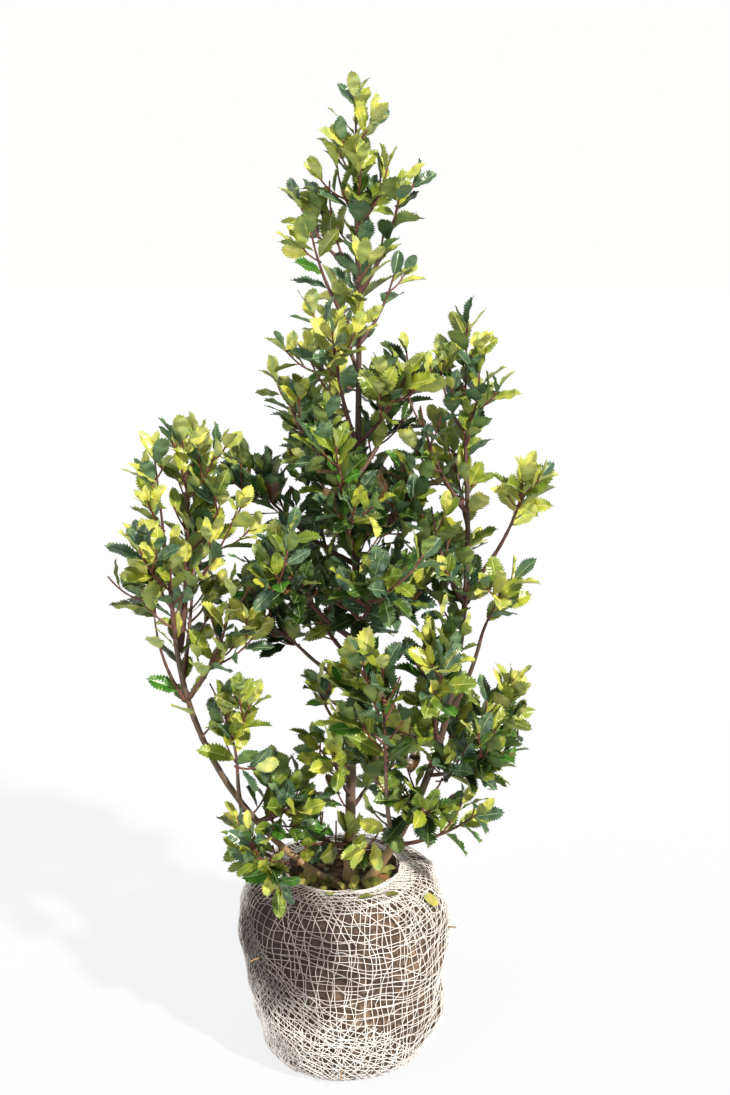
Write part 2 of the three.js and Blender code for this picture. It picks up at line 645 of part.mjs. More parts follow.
const soilMaterial = new THREE.MeshStandardMaterial({ color: COLOURS.soil, roughness: 0.95 });
const twineMaterial = new THREE.MeshStandardMaterial({ color: COLOURS.twine, roughness: 0.85 });
const barkMaterial = new THREE.MeshStandardMaterial({ color: COLOURS.bark, roughness: 0.8 });
const leafMaterial = new THREE.MeshStandardMaterial({ color: COLOURS.leaf, roughness: 0.4 });

addMesh("root_ball", rootBall(), soilMaterial);
addMesh("net_collar", netCollar(), twineMaterial);
for (const [name, limb] of limbs) addMesh(name, limb.geometry, barkMaterial);

const sprays = SPRAYS.map(startSpray);
for (const spray of sprays) addSideShoots(spray, sprays);
for (const spray of sprays)
  spray.samples = spray.shoots.flatMap(({ curve }) => samplesAlong(curve, CLEAR.sample));
for (const spray of sprays) {
  const mass = geometryOf(spraySolid(spray, sprays));
  addMesh(`foliage_${spray.row.name}`, mass, leafMaterial);
}

export default group;
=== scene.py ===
# %% [markdown]
# # A young holly shrub on its netted root ball
#
# The shrub is 1.2 m tall. Three stems rise from a ball of soil that is held in twine netting, and
# small spiny leaves sit in spirals round their shoots. This lesson dresses a model that is already
# built as plain solids: first the frame is loaded, then every piece that is seen is made and placed
# in it. Sizes are in millimetres, as a gardener would measure them, and each mesh is written in
# metres, as the frame is.

import math

import bpy
import numpy as np
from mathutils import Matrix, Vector, noise


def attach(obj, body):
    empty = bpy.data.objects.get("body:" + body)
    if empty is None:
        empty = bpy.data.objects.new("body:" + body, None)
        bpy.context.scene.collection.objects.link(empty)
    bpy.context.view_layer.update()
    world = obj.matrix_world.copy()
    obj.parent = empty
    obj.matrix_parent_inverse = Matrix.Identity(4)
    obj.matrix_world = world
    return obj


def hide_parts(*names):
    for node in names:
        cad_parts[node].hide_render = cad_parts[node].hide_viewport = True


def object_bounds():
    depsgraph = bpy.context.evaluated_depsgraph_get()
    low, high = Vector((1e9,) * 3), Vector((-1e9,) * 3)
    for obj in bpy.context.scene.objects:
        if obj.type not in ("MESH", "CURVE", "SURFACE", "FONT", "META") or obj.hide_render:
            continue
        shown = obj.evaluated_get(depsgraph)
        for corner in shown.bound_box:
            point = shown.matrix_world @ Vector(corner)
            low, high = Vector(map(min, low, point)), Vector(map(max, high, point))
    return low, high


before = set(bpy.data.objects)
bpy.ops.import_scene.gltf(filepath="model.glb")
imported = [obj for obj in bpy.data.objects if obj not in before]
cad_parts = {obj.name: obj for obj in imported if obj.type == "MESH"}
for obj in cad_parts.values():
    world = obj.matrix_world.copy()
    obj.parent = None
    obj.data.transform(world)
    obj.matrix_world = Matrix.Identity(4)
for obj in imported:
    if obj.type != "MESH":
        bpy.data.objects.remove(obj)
cad_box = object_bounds()
FOLIAGE_NODES = sorted(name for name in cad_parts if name.startswith("foliage_"))
print(f"{len(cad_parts)} nodes, {len(FOLIAGE_NODES)} of them masses of foliage")

# %% [markdown]
# ## Camera
#
# The shrub is looked at from a little under its own height, 1.75 m away, so the camera points down
# by some degrees and the ball is seen partly from above. A camera's lens is given in millimetres
# beside a sensor of 36 mm. Here it is worked out from the focal length in pixels, and the long side
# of the image stands for the sensor.

# %% The camera
IMAGE = (730, 1095)
FOCAL_LENGTH = 1500  # pixels
SENSOR = 36
CAMERA_PLACE = (0.028, -1.75, 1.075)
CAMERA_DOWN = 13.39  # degrees under the horizon

lens = bpy.data.cameras.new("camera")
lens.sensor_width = SENSOR
lens.lens = SENSOR * FOCAL_LENGTH / max(IMAGE)
camera = bpy.data.objects.new("camera", lens)
camera.location = CAMERA_PLACE
camera.rotation_euler = (math.radians(90 - CAMERA_DOWN), 0, 0)
bpy.context.scene.collection.objects.link(camera)
bpy.context.scene.camera = camera
print(f"lens {lens.lens:.2f} mm")

# %% [markdown]
# ## Shader sums
#
# A material is a tree of nodes, and a sum such as 1 - mask is a Math node between two sockets. To
# write such sums as Python writes them, one small class wraps a socket and overloads the operators.
# Any other node comes from one method: it takes the node's type, its settings and its sockets.

# %% A socket that can be reckoned with
class Value:
    """One number socket of a node tree."""

    def __init__(self, tree, socket):
        self.tree = tree
        self.socket = socket

    def _sum(self, operation, first, second):
        node = self.tree.add("ShaderNodeMath", {"operation": operation}, {0: first, 1: second})
        return self.tree.value(node, "Value")

    def __add__(self, other):
        return self._sum("ADD", self, other)

    def __radd__(self, other):
        return self._sum("ADD", other, self)

    def __sub__(self, other):
        return self._sum("SUBTRACT", self, other)

    def __rsub__(self, other):
        return self._sum("SUBTRACT", other, self)

    def __mul__(self, other):
        return self._sum("MULTIPLY", self, other)

    def __rmul__(self, other):
        return self._sum("MULTIPLY", other, self)


# %% A tree of nodes, with one method that adds any node
class Tree:
    """The node tree of a material or of the world."""

    def __init__(self, nodes):
        self.nodes = nodes

    def add(self, kind, settings=None, sockets=None):
        """Adds a node: settings first, then a value or a link for each named socket."""
        node = self.nodes.nodes.new(kind)
        for name, setting in (settings or {}).items():
            if name == "stops":
                self._place_stops(node.color_ramp, setting)
            else:
                setattr(node, name, setting)
        for name, given in (sockets or {}).items():
            self.fill(node.inputs[name], given)
        return node

    def _place_stops(self, ramp, stops):
        while len(ramp.elements) < len(stops):
            ramp.elements.new(0.5)
        for element, (place, colour) in zip(ramp.elements, stops):
            element.position = place
            element.color = (*colour, 1)

    def fill(self, socket, given):
        """Gives a socket a link or a plain value."""
        if isinstance(given, Value):
            given = given.socket
        if isinstance(given, bpy.types.NodeSocket):
            self.nodes.links.new(given, socket)
        elif isinstance(given, tuple) and len(given) == 3 and socket.type == "RGBA":
            socket.default_value = (*given, 1)
        else:
            socket.default_value = given

    def value(self, node, output):
        return Value(self, node.outputs[output])


# %% A finish is a material with a Principled shader
class Finish(Tree):
    """A material with a Principled shader."""

    def __init__(self, name, roughness):
        self.material = bpy.data.materials.new(name)
        self.material.use_nodes = True
        super().__init__(self.material.node_tree)
        self.shader = self.nodes.nodes["Principled BSDF"]
        self.set(Roughness=roughness)

    def set(self, **sockets):
        """Fills sockets of the Principled shader: an underscore stands for a space."""
        for name, given in sockets.items():
            self.fill(self.shader.inputs[name.replace("_", " ")], given)


# %% [markdown]
# ## Light
#
# The light is a warm sun from the upper right, a little in front, in a bright white room. A sun lamp
# lights every side of the shrub with the same strength wherever it stands, and its angle says how
# soft the shadows are. A second, weak and very soft one is what a pale wall on the left throws back.
# The room is seen as plain white, but it sheds less light than a white room all round would, so that
# the inside of the crown stays dark.

# %% The sun, and the pale wall
SUN_FROM = Vector((0.62, -0.7, 0.82))
SUN_STRENGTH = 5.6
SUN_ANGLE = 3  # degrees across: larger is softer
SUN_COLOUR = (1.0, 0.95, 0.85)

WALL_FROM = Vector((-0.8, -0.7, 0.15))
WALL_STRENGTH = 2.3
WALL_ANGLE = 60
WALL_COLOUR = (1.0, 1.0, 1.0)


def add_sun(name, came_from, strength, angle, colour):
    """A sun lamp that shines from a direction."""
    light = bpy.data.lights.new(name, "SUN")
    light.energy = strength
    light.angle = math.radians(angle)
    light.color = colour
    lamp = bpy.data.objects.new(name, light)
    lamp.rotation_euler = came_from.to_track_quat("Z", "Y").to_euler()
    bpy.context.scene.collection.objects.link(lamp)


add_sun("sun", SUN_FROM, SUN_STRENGTH, SUN_ANGLE, SUN_COLOUR)
add_sun("wall", WALL_FROM, WALL_STRENGTH, WALL_ANGLE, WALL_COLOUR)
print(f"sun {SUN_STRENGTH} W/m2, wall {WALL_STRENGTH} W/m2")

# %% The room
ROOM_LIGHT = 0.7
ROOM_COLOUR = (1.0, 1.0, 0.95)
BACKDROP_LIGHT = 1.0  # how bright the room is to the camera
BACKDROP_COLOUR = (1.0, 0.998, 0.99)

world = bpy.data.worlds.new("room")
world.use_nodes = True
room = Tree(world.node_tree)
light = {"Color": ROOM_COLOUR, "Strength": ROOM_LIGHT}
sky = room.add("ShaderNodeBackground", None, light)
backdrop = {"Color": BACKDROP_COLOUR, "Strength": BACKDROP_LIGHT}
white = room.add("ShaderNodeBackground", None, backdrop)
seen = room.add("ShaderNodeLightPath").outputs["Is Camera Ray"]
both = room.add("ShaderNodeMixShader", None, {0: seen, 1: sky.outputs[0], 2: white.outputs[0]})
room.fill(room.nodes.nodes["World Output"].inputs["Surface"], both.outputs["Shader"])
bpy.context.scene.world = world
bpy.context.scene.view_settings.view_transform = "Standard"
print(f"room {ROOM_LIGHT}, seen as {BACKDROP_LIGHT}")

# %% [markdown]
# ## Patterns
#
# Leaves, bark, soil and twine all change tone in cloudy patches, some fine and some coarse. The
# patches come from noise that is laid out in space and not over an unwrapped surface, so it needs no
# picture and shows no seam. Each helper adds a node or two and gives back a socket for the next sum.

# %% Patterns that several finishes share
PER_METRE = 1000  # millimetres


def place(finish):
    """The point on the piece, in metres, as it lies in the frame."""
    return finish.add("ShaderNodeTexCoord").outputs["Object"]


def mottle(finish, size, detail=3.0, stretch=(1, 1, 1)):
    """A cloudy pattern from 0 to 1 with patches about `size` millimetres across."""
    at = finish.add("ShaderNodeMapping", None, {"Vector": place(finish), "Scale": stretch})
    sockets = {"Vector": at.outputs["Vector"], "Scale": PER_METRE / size, "Detail": detail}
    return finish.value(finish.add("ShaderNodeTexNoise", None, sockets), "Fac")


MIX_COLOUR = {"factor": 0, "low": 6, "high": 7, "result": 2}  # the colour sockets of a Mix node


def blend(finish, low, high, share):
    """A colour between two, by a share from 0 to 1."""
    sockets = {MIX_COLOUR["factor"]: share, MIX_COLOUR["low"]: low, MIX_COLOUR["high"]: high}
    node = finish.add("ShaderNodeMix", {"data_type": "RGBA"}, sockets)
    return node.outputs[MIX_COLOUR["result"]]


def ramp(finish, share, stops):
    """A colour from a ramp of (place, colour) stops."""
    node = finish.add("ShaderNodeValToRGB", {"stops": stops}, {"Fac": share})
    return node.outputs["Color"]


def raised(finish, height, depth):
    """Feeds the Normal socket with a relief `depth` millimetres deep."""
    sockets = {"Height": height, "Distance": depth / PER_METRE}
    finish.set(Normal=finish.add("ShaderNodeBump", None, sockets).outputs["Normal"])


# %% [markdown]
# ## Meshes from arrays
#
# The shrub has some 2,400 leaves and over five hundred twigs. Made one by one as objects they would
# be slow and hard to hand on, so the points of all leaves of a kind are worked out in one array and
# become one mesh. A Heap gathers such points and faces, and turns them into a piece that rides on the
# frame's one body.

# %% A heap of points and faces that becomes a piece
MM = 0.001  # metres


class Heap:
    """Points in millimetres and faces, gathered for one mesh."""

    def __init__(self):
        self.points = []
        self.faces = []
        self.finishes = []
        self.size = 0

    def add(self, points, faces, finish=0):
        """Faces count from the first of these points; `finish` is one for all or one for each."""
        points = np.asarray(points, float).reshape(-1, 3)
        self.points.append(points)
        self.faces.extend((np.asarray(faces) + self.size).tolist())
        self.finishes.append(np.broadcast_to(finish, len(faces)))
        self.size += len(points)

    def cap(self, count, start):
        """One flat face over `count` points in a row; `start` is counted from the newest point."""
        ring = list(range(self.size + start, self.size + start + count))
        self.faces.append(ring if start == -count else ring[::-1])
        self.finishes.append(np.zeros(1, int))

    def make(self, name, slot, finishes, replaces=()):
        """Turns the heap into a piece of the frame's one body, in place of some of its nodes."""
        mesh = bpy.data.meshes.new(name)
        mesh.from_pydata((np.vstack(self.points) * MM).tolist(), [], self.faces)
        for finish in finishes:
            mesh.materials.append(finish.material)
        mesh.polygons.foreach_set("material_index", np.concatenate(self.finishes))
        mesh.shade_smooth()
        piece = bpy.data.objects.new(name, mesh)
        bpy.context.scene.collection.objects.link(piece)
        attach(piece, "root")
        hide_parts(*replaces)
        triangles = sum(len(face) - 2 for face in self.faces)
        print(f"{name}: {triangles:,} triangles")
        return piece


# %% Faces of a net of points, and of tubes
def net_faces(rows, columns, closed=False):
    """Four-sided faces between rows of points; a closed net joins its last column to its first."""
    across = columns if closed else columns - 1
    row = np.arange(rows - 1)[:, None] * columns
    here = np.arange(across)[None, :]
    there = (here + 1) % columns
    corners = (row + here, row + there, row + there + columns, row + here + columns)
    return np.stack(corners, -1).reshape(-1, 4)


def unit(vectors):
    """The same directions with a length of 1."""
    return vectors / np.linalg.norm(vectors, axis=-1, keepdims=True)


# %% [markdown]
# ## Limbs
#
# Every limb is a Bezier curve, so a few points say how it bends and its width is worked out on the
# way. The trunk runs on as the leader. The table repeats the limbs of the frame's own source, so a
# twig that is grown here starts where the bark of its limb is.

# %% The sizes of the limbs
GAP = 0.3
BALL = {
    "side": [(84, 0), (114, 4), (123, 60), (128, 141)],  # radius and height, from the flat foot up
    "shoulder": [(128, 141), (134, 214), (118, 243), (94, 243)],  # and in to the ledge on top
    "ledge": 243,
    "soil": 228,
    "opening": 67,
    "hollow": 4,
    "lean": 9,
    "lean_from": 30,
    "lean_to": 196,
    "lump": 0.015,
}
COLLAR = {"radius": 74, "width": 11, "height": 6}
GROUND = BALL["soil"] + GAP

STEMS = [  # name, foot, knees, tip, radius at the foot and the tip, flare
    ("trunk", (8, 4, GROUND), [(12, 2, 480), (24, 0, 780)], (20, 0, 1020), (7.0, 2.4), 2.0),
    (
        "right_stem", (30, -12, GROUND), [(56, -17, 270), (168, -18, 402)],
        (149, 10, 745), (6.3, 2.8), 1.5,
    ),
    (
        "left_bough", (-15, -9, GROUND), [(-58, -28, 262), (-182, -52, 374)],
        (-196, -50, 560), (4.7, 3.2), 1.3,
    ),
]
BOUGHS = [  # name, on, at, turn, reach, rise, radius, bow
    ("front_bough", "right_stem", 292, -102, 84, 118, (3.3, 2.2), 0.3),
    ("far_right_bough", "right_stem", 466, -25, 38, 84, (3.0, 2.2), 0.1),
    ("low_right_bough", "right_stem", 408, -4, 44, 20, (2.8, 2.1), 0.2),
    ("centre_left_bough", "trunk", 488, -171, 62, 44, (2.8, 2.1), 0.1),
    ("inner_left_bough", "left_bough", 345, -100, 20, 50, (2.8, 2.1), 0.2),
]
FLARE_LENGTH = 16
print(len(STEMS), "stems and", len(BOUGHS), "boughs")

# %% A curve
UP = np.array([0.0, 0.0, 1.0])
MEASURED_AT = 201  # points by which a curve's length is measured


class Curve:
    """A Bezier curve through its first and last control point."""

    def __init__(self, *controls):
        self.controls = np.array(controls, float)
        steps = np.diff(self.at(np.linspace(0, 1, MEASURED_AT)), axis=0)
        self.length = np.linalg.norm(steps, axis=1).sum()

    def _weigh(self, shares, values):
        shares = np.asarray(shares, float)[..., None]
        n = len(values) - 1
        return sum(
            math.comb(n, k) * shares**k * (1 - shares) ** (n - k) * value
            for k, value in enumerate(values)
        )

    def at(self, shares):
        return self._weigh(shares, self.controls)

    def along(self, shares):
        return unit(self._weigh(shares, np.diff(self.controls, axis=0)))

    def around(self, shares, angles):
        """Directions square to the curve, counted from one that is level."""
        axes = self.along(shares)
        a = unit(np.cross(UP, self.controls[-1] - self.controls[0]))
        a = unit(a - axes * (axes @ a)[..., None])
        b = np.cross(axes, a)
        angles = np.asarray(angles, float)[..., None]
        return a * np.cos(angles) + b * np.sin(angles)

    def samples(self, step):
        return self.at(np.linspace(0, 1, max(2, math.ceil(self.length / step)) + 1))


def heading(turn):
    """A level direction: 0 to the right, 90 to the back."""
    return np.array([math.cos(math.radians(turn)), math.sin(math.radians(turn)), 0])


# %% A limb
class Limb:
    """A limb's curve, its tapering radius, and the limb that it grows on."""

    def __init__(self, curve, radius, flare=0.0, on=None):
        self.curve = curve
        self.radius = radius
        self.flare = flare
        self.on = on

    def radius_at(self, share):
        taper = self.radius[0] + (self.radius[1] - self.radius[0]) * np.asarray(share, float)
        return taper + self.flare * np.exp(-np.asarray(share) * self.curve.length / FLARE_LENGTH)


# %% Where a bough or a spray springs from its limb
HALVINGS = 30
STRAIGHT_ON = 0.4  # pull of a limb's direction on what grows on from its tip


def share_at_height(curve, height):
    """Where a limb passes a height: it climbs all the way, so halving finds it."""
    low, high = 0.0, 1.0
    for _ in range(HALVINGS):
        middle = (low + high) / 2
        low, high = (middle, high) if curve.at(middle)[2] < height else (low, middle)
    return low


def spring_from(limb, at, turn, reach, rise, bow, thickness):
    """The curve of what grows on a limb: from its side at a height, or on from its tip."""
    out = heading(turn)
    share = 1.0 if at is None else share_at_height(limb.curve, at)
    base, along = limb.curve.at(share), limb.curve.along(share)
    end = base + out * reach + UP * rise
    if at is None:
        start = base + along * GAP
        return Curve(start, start + along * STRAIGHT_ON * np.linalg.norm(end - start), end)
    middle = (base + end) / 2 + out * bow * rise - UP * bow * reach
    slant = abs(unit(middle - base) @ along)
    square = unit(out - along * (out @ along))
    return Curve(base + square * (limb.radius_at(share) + GAP + thickness * slant), middle, end)


# %% Three stems from the ball, and the boughs on them
limbs = {}
for name, foot, knees, tip, radius, flare in STEMS:
    limbs[name] = Limb(Curve(foot, *knees, tip), radius, flare)
for name, on, at, turn, reach, rise, radius, bow in BOUGHS:
    curve = spring_from(limbs[on], at, turn, reach, rise, bow, radius[0])
    limbs[name] = Limb(curve, radius, on=limbs[on])
print({name: round(limb.curve.length) for name, limb in limbs.items()})

# %% [markdown]
# ## Masses of foliage
#
# Each mass is one leafy spray with a stem, side shoots and leaves. The table says where each stem
# springs and how far it goes, and a seeded draw places the rest, so the plant is the same each time
# it is grown. A mass keeps to its own space: a shoot that comes nearer to another mass's shoots than
# to its own is left out. In the thick of the crown the leaves of neighbours mingle by a few
# millimetres, so that no seams show between them.

# %% The table of sprays
TIP = None
SPRAYS = [  # name, on, at, turn, reach, rise, side shoots, bare share, arms, bow
    (
        "top", "trunk", TIP, 200, 3, 155, 0, 0.04,
        [(0.16, 190, 24, 66), (0.1, 12, 34, 66), (0.3, 85, 28, 46), (0.3, -80, 22, 40)],
    ),
    ("upper_left", "trunk", 984, 176, 68, 76, 1, 0.3, [(0.12, 150, 22, 92)]),
    ("upper_right", "trunk", 966, -10, 50, 122, 1, 0.4, [(0.1, 0, 16, 62)]),
    ("upper_back", "trunk", 972, 96, 40, 84, 2, 0.1),
    ("upper_front", "trunk", 900, -88, 34, 96, 1, 0.1),
    ("high_left", "trunk", 916, -160, 58, 118, 1, 0.45),
    ("high_right", "trunk", 906, 32, 48, 72, 1, 0.4),
    ("high_back", "trunk", 872, 112, 76, 88, 1, 0.2),
    ("left_shoulder", "trunk", 790, -122, 52, 133, 2, 0.15),
    ("right_shoulder", "trunk", 790, -32, 66, 80, 2, 0.15),
    ("crown_left", "trunk", 716, -163, 80, 118, 3, 0.15),
    ("crown_back_right", "trunk", 750, 48, 86, 104, 3, 0.15),
    ("crown_back_left", "trunk", 705, 132, 96, 108, 3, 0.15),
    ("crown_front", "trunk", 655, -104, 92, 140, 3, 0.2),
    ("crown_right", "trunk", 668, -36, 84, 62, 4, 0.15),
    ("centre_left_top", "trunk", 640, 178, 128, 110, 3, 0.2),
    ("centre_back", "trunk", 610, 86, 122, 112, 4, 0.2),
    ("centre_right", "trunk", 585, -8, 92, 34, 3, 0.15),
    ("centre_front_left", "trunk", 548, -134, 130, 132, 4, 0.2),
    ("centre_front", "trunk", 560, -76, 112, 92, 3, 0.2, [(0.25, -150, 42, 56)]),
    ("centre_left", "centre_left_bough", TIP, 178, 64, 48, 4, 0.02),
    ("lower_back_right", "trunk", 530, 44, 104, 84, 3, 0.2),
    ("lower_back_left", "trunk", 516, 132, 112, 96, 3, 0.2),
    ("thin_left", "trunk", 420, -140, 56, 80, 0, 0.4),
    ("low_front_left", "trunk", 346, -112, 66, 86, 2, 0.2),
    ("low_centre", "trunk", 270, -148, 74, 60, 3, 0.1, [(0.2, -62, 52, 34), (0.25, 150, 52, 22)]),
    ("low_back", "trunk", 322, 60, 100, 60, 3, 0.25),
    (
        "right_top", "right_stem", TIP, 100, 8, 176, 1, 0.08,
        [(0.34, -24, 16, 70), (0.32, -160, 32, 74)],
    ),
    ("right_high_left", "right_stem", 706, -164, 60, 122, 2, 0.2),
    ("right_high_back", "right_stem", 690, 104, 66, 96, 3, 0.15),
    ("right_inner", "right_stem", 594, -140, 56, 120, 3, 0.1),
    ("far_right_high", "right_stem", 612, -10, 70, 134, 2, 0.55),
    ("right_back", "right_stem", 560, 112, 76, 84, 2, 0.2),
    ("far_right", "far_right_bough", TIP, -21, 40, 80, 2, 0.25),
    ("right_front", "right_stem", 412, -104, 62, 150, 3, 0.1, [(0.12, -150, 52, 16)]),
    ("low_right", "low_right_bough", TIP, -4, 40, 22, 3, 0.02),
    (
        "low_right_front", "right_stem", 376, -42, 92, 52, 3, 0.12,
        [(0.3, -112, 52, 8), (0.35, 8, 42, -2)],
    ),
    ("low_right_back", "right_stem", 380, 60, 88, 48, 3, 0.2),
    (
        "low_front", "right_stem", 322, -84, 82, 60, 3, 0.12,
        [(0.3, -160, 56, -16), (0.55, -14, 44, 22)],
    ),
    ("low_right_twig", "right_stem", 286, -24, 108, 56, 2, 0.4),
    ("front_spray", "front_bough", TIP, -108, 20, 140, 3, 0.02),
    (
        "left_top", "left_bough", TIP, -160, 18, 218, 3, 0.1,
        [(0.06, 180, 40, 42), (0.2, 176, 34, 66), (0.22, 2, 80, 118)],
    ),
    ("left_tall", "left_bough", 548, 66, 26, 244, 3, 0.2, [(0.45, 0, 40, 60)]),
    ("left_outer", "left_bough", 492, -165, 34, 92, 0, 0.6),
    ("left_inner", "left_bough", 488, -28, 68, 134, 2, 0.15),
    ("left_back", "left_bough", 510, 84, 78, 124, 3, 0.2),
    ("inner_left", "inner_left_bough", TIP, -160, 30, 112, 2, 0.02, [(0.06, -20, 22, 2)]),
    ("low_left", "left_bough", 320, -24, 56, 38, 3, 0.1, [(0.3, -86, 44, 8)]),
    ("low_left_back", "left_bough", 318, 62, 80, 16, 3, 0.15),
    ("over_the_ball", "left_bough", 264, -124, 86, 36, 4, 0.2, [(0.25, 168, 58, 36)], 0.05),
]

# %% How a spray grows
BOW = 0.14  # how far a stem sags below its chord, as a share of it
STEM_THICKNESS = (1.5, 0.013)  # radius at its base: a fixed part, and a share of its length
SIDE_ANGLE = 48  # degrees between a side shoot and the stem it leaves
SIDE_SHARE = 0.46  # length of a side shoot, as a share of its stem's
SIDE_LENGTH = (30, 74)
SIDE_RADIUS = 1.6
SIDE_BARE = 0.12
SIDE_ZONE = (0.2, 0.86)  # the stretch of the stem that side shoots leave, in equal parts
SIDE_SCATTER = 0.4  # how far a side shoot strays along its part
SIDE_TURN = 0.5  # and round the stem, in radians
SIDE_TAPER = (1.15, 0.5)  # side shoots get shorter up the stem: at its base, and by how much
SIZE_SPREAD = 0.2
LIFT = 0.42  # pull of a side shoot's tip towards the sky
SPIRAL = math.radians(137.5)  # turn from one leaf or shoot to the next
FLAT = 2 * math.pi / 3  # side shoots spring a third of a turn apart
ARM_RADIUS = 1.7
ROOT_ON_TIP, ROOT_IN_SIDE = 3.0, 8.0  # how far a stem's mesh reaches back into its limb
ROOT_IN_STEM = 4.0  # and a side shoot's into its stem
CLEAR = {"limb": 4, "shoot": 6, "ball": 6, "sample": 5}  # room to keep, and the step of samples
print(len(SPRAYS), "sprays")

# %% [markdown]
# ## Draws that come out the same
#
# What the tables don't say is drawn: where side shoots leave, how long they are and how leaves turn.
# The frame's own source draws the same shoots in another language, so both use one small generator
# whose whole-number sums come out the same in either.

# %% Seeded draws
RANGE = 2**32
SEED_FACTOR, SEED_SHIFT = 7919, 104729  # so that neighbouring seeds start far apart
FACTOR, SHIFT = 1664525, 1013904223


def random_stream(seed):
    """A linear congruential generator: the same draws on every machine."""
    state = (seed * SEED_FACTOR + SEED_SHIFT) % RANGE
    while True:
        state = (state * FACTOR + SHIFT) % RANGE
        yield state / RANGE


first_draws = random_stream(0)
print("first draws of seed 0:", [round(next(first_draws), 3) for _ in range(3)])

# %% [markdown]
# ## Shoots and sprays
#
# A shoot is a curve with a radius, and it knows the curves of what grows on it. A spray gathers one
# stem, its arms from the table, and all the side shoots and twigs that it gets later.

# %% A shoot and what it can grow
def nearest_flat(angle):
    """The nearest of the three directions in which side shoots spring."""
    return FLAT * (round(angle / FLAT - 0.5) + 0.5)


class Shoot:
    """A twig: its curve, its radius at the base, the share of it with no leaves, and its order."""

    def __init__(self, curve, radius, bare, order, root=ROOT_IN_STEM):
        self.curve = curve
        self.radius = radius
        self.bare = bare
        self.order = order
        self.root = root  # how far its mesh reaches back into what it grows on
        self.leaves_out = 0.0  # how far out of its middle its leaves are rooted

    def side(self, share, turn, length):
        """The curve of a side shoot, which leaves at an angle and turns up to the light."""
        start, along = self.curve.at(share), self.curve.along(share)
        angle = math.radians(SIDE_ANGLE)
        first = along * math.cos(angle) + self.curve.around(share, turn) * math.sin(angle)
        last = unit(first + UP * LIFT)
        return Curve(start, start + first * length / 2, start + last * length)

    def arm(self, share, turn, reach, rise):
        """The curve of an arm, whose end is given by the table."""
        start, out = self.curve.at(share), heading(turn)
        end = start + out * reach + UP * rise
        middle = (start + end) / 2 + out * BOW * rise - UP * BOW * reach
        return Curve(start, middle, end)


# %% Sprays with their stems and arms
class Spray:
    """One mass of foliage: its row of the table, its draws and its shoots."""

    def __init__(self, number, name, on, at, turn, reach, rise, sides, bare, arms=(), bow=BOW):
        self.number = number
        self.name = name
        self.sides = sides
        length = math.hypot(reach, rise)
        limb = limbs[on]
        radius = limb.radius[1] if at is None else STEM_THICKNESS[0] + STEM_THICKNESS[1] * length
        curve = spring_from(limb, at, turn, reach, rise, bow, radius)
        self.stem = Shoot(curve, radius, bare, 0, ROOT_ON_TIP if at is None else ROOT_IN_SIDE)
        self.shoots = [self.stem]
        for arm in arms:
            self.shoots.append(Shoot(self.stem.arm(*arm), ARM_RADIUS, SIDE_BARE, 1))
        self.draws = random_stream(number + 1)

    def draw(self):
        return next(self.draws)

    def samples(self):
        return np.vstack([shoot.curve.samples(CLEAR["sample"]) for shoot in self.shoots])


sprays = [Spray(number, *row) for number, row in enumerate(SPRAYS)]
assert {"foliage_" + spray.name for spray in sprays} == set(FOLIAGE_NODES)

# %% [markdown]
# ## Keeping to one's own space
#
# Before a shoot or a leaf is kept, its points are measured against the limbs, the ball and the
# shoots of every other spray. All distances are worked out at once as arrays.

# %% Clear of the limbs
limb_points = np.vstack([limb.curve.samples(CLEAR["sample"]) for limb in limbs.values()])
limb_widths = np.concatenate(
    [
        limb.radius_at(np.linspace(0, 1, len(limb.curve.samples(CLEAR["sample"]))))
        for limb in limbs.values()
    ]
)


def distances(points, others):
    """From each point to each of the others."""
    return np.linalg.norm(points[:, None] - others[None], axis=2)


def clear_of_limbs(points, room):
    """Outside the bark of every limb, by some room."""
    return bool((distances(points, limb_points) > limb_widths + room).all())


print(len(limb_points), "points along the limbs")

# %% Clear of the ball
SHOULDER_RINGS = 7

shoulder = Curve(*[(radius, 0, z) for radius, z in BALL["shoulder"]])
shoulder_points = shoulder.at(np.linspace(0, 1, SHOULDER_RINGS))
ball_rings = np.vstack([
    shoulder_points[:, [0, 2]],
    [COLLAR["radius"] + COLLAR["width"] / 2, BALL["ledge"] + COLLAR["height"]],
])


def clear_of_ball(points):
    """Outside or above every ring of the ball: its shoulder's and the gathered netting's."""
    out = np.hypot(points[:, 0], points[:, 1])[:, None]
    beside = out > ball_rings[:, 0] + CLEAR["ball"]
    above = points[:, 2][:, None] > ball_rings[:, 1] + CLEAR["ball"]
    return bool((beside | above).all())


print(len(ball_rings), "rings round the ball")

# %% Who grows where
class Territory:
    """Who grows where: the shoots of all sprays, as points with their owner's number."""

    def __init__(self):
        self.points = np.vstack([spray.samples() for spray in sprays])
        self.owners = np.concatenate(
            [np.full(len(spray.samples()), spray.number) for spray in sprays]
        )

    def holds(self, spray, points, room):
        """Whether points are nearer to the spray's own shoots than to all others, by some room."""
        near = distances(points, self.points)
        own = self.owners == spray.number
        return bool((near[:, ~own].min(1) > near[:, own].min(1) + room).all())


# %% Keeping the shoots that fit
REACH_MARGIN = 12  # how far twigs and leaves may stand out of the frame's own box
reach_low, reach_high = (np.array(corner) * PER_METRE for corner in cad_box)


def within_reach(points):
    """Inside the frame's box, or hardly outside it."""
    low, high = points.min(0), points.max(0)
    return bool((low > reach_low - REACH_MARGIN).all() and (high < reach_high + REACH_MARGIN).all())


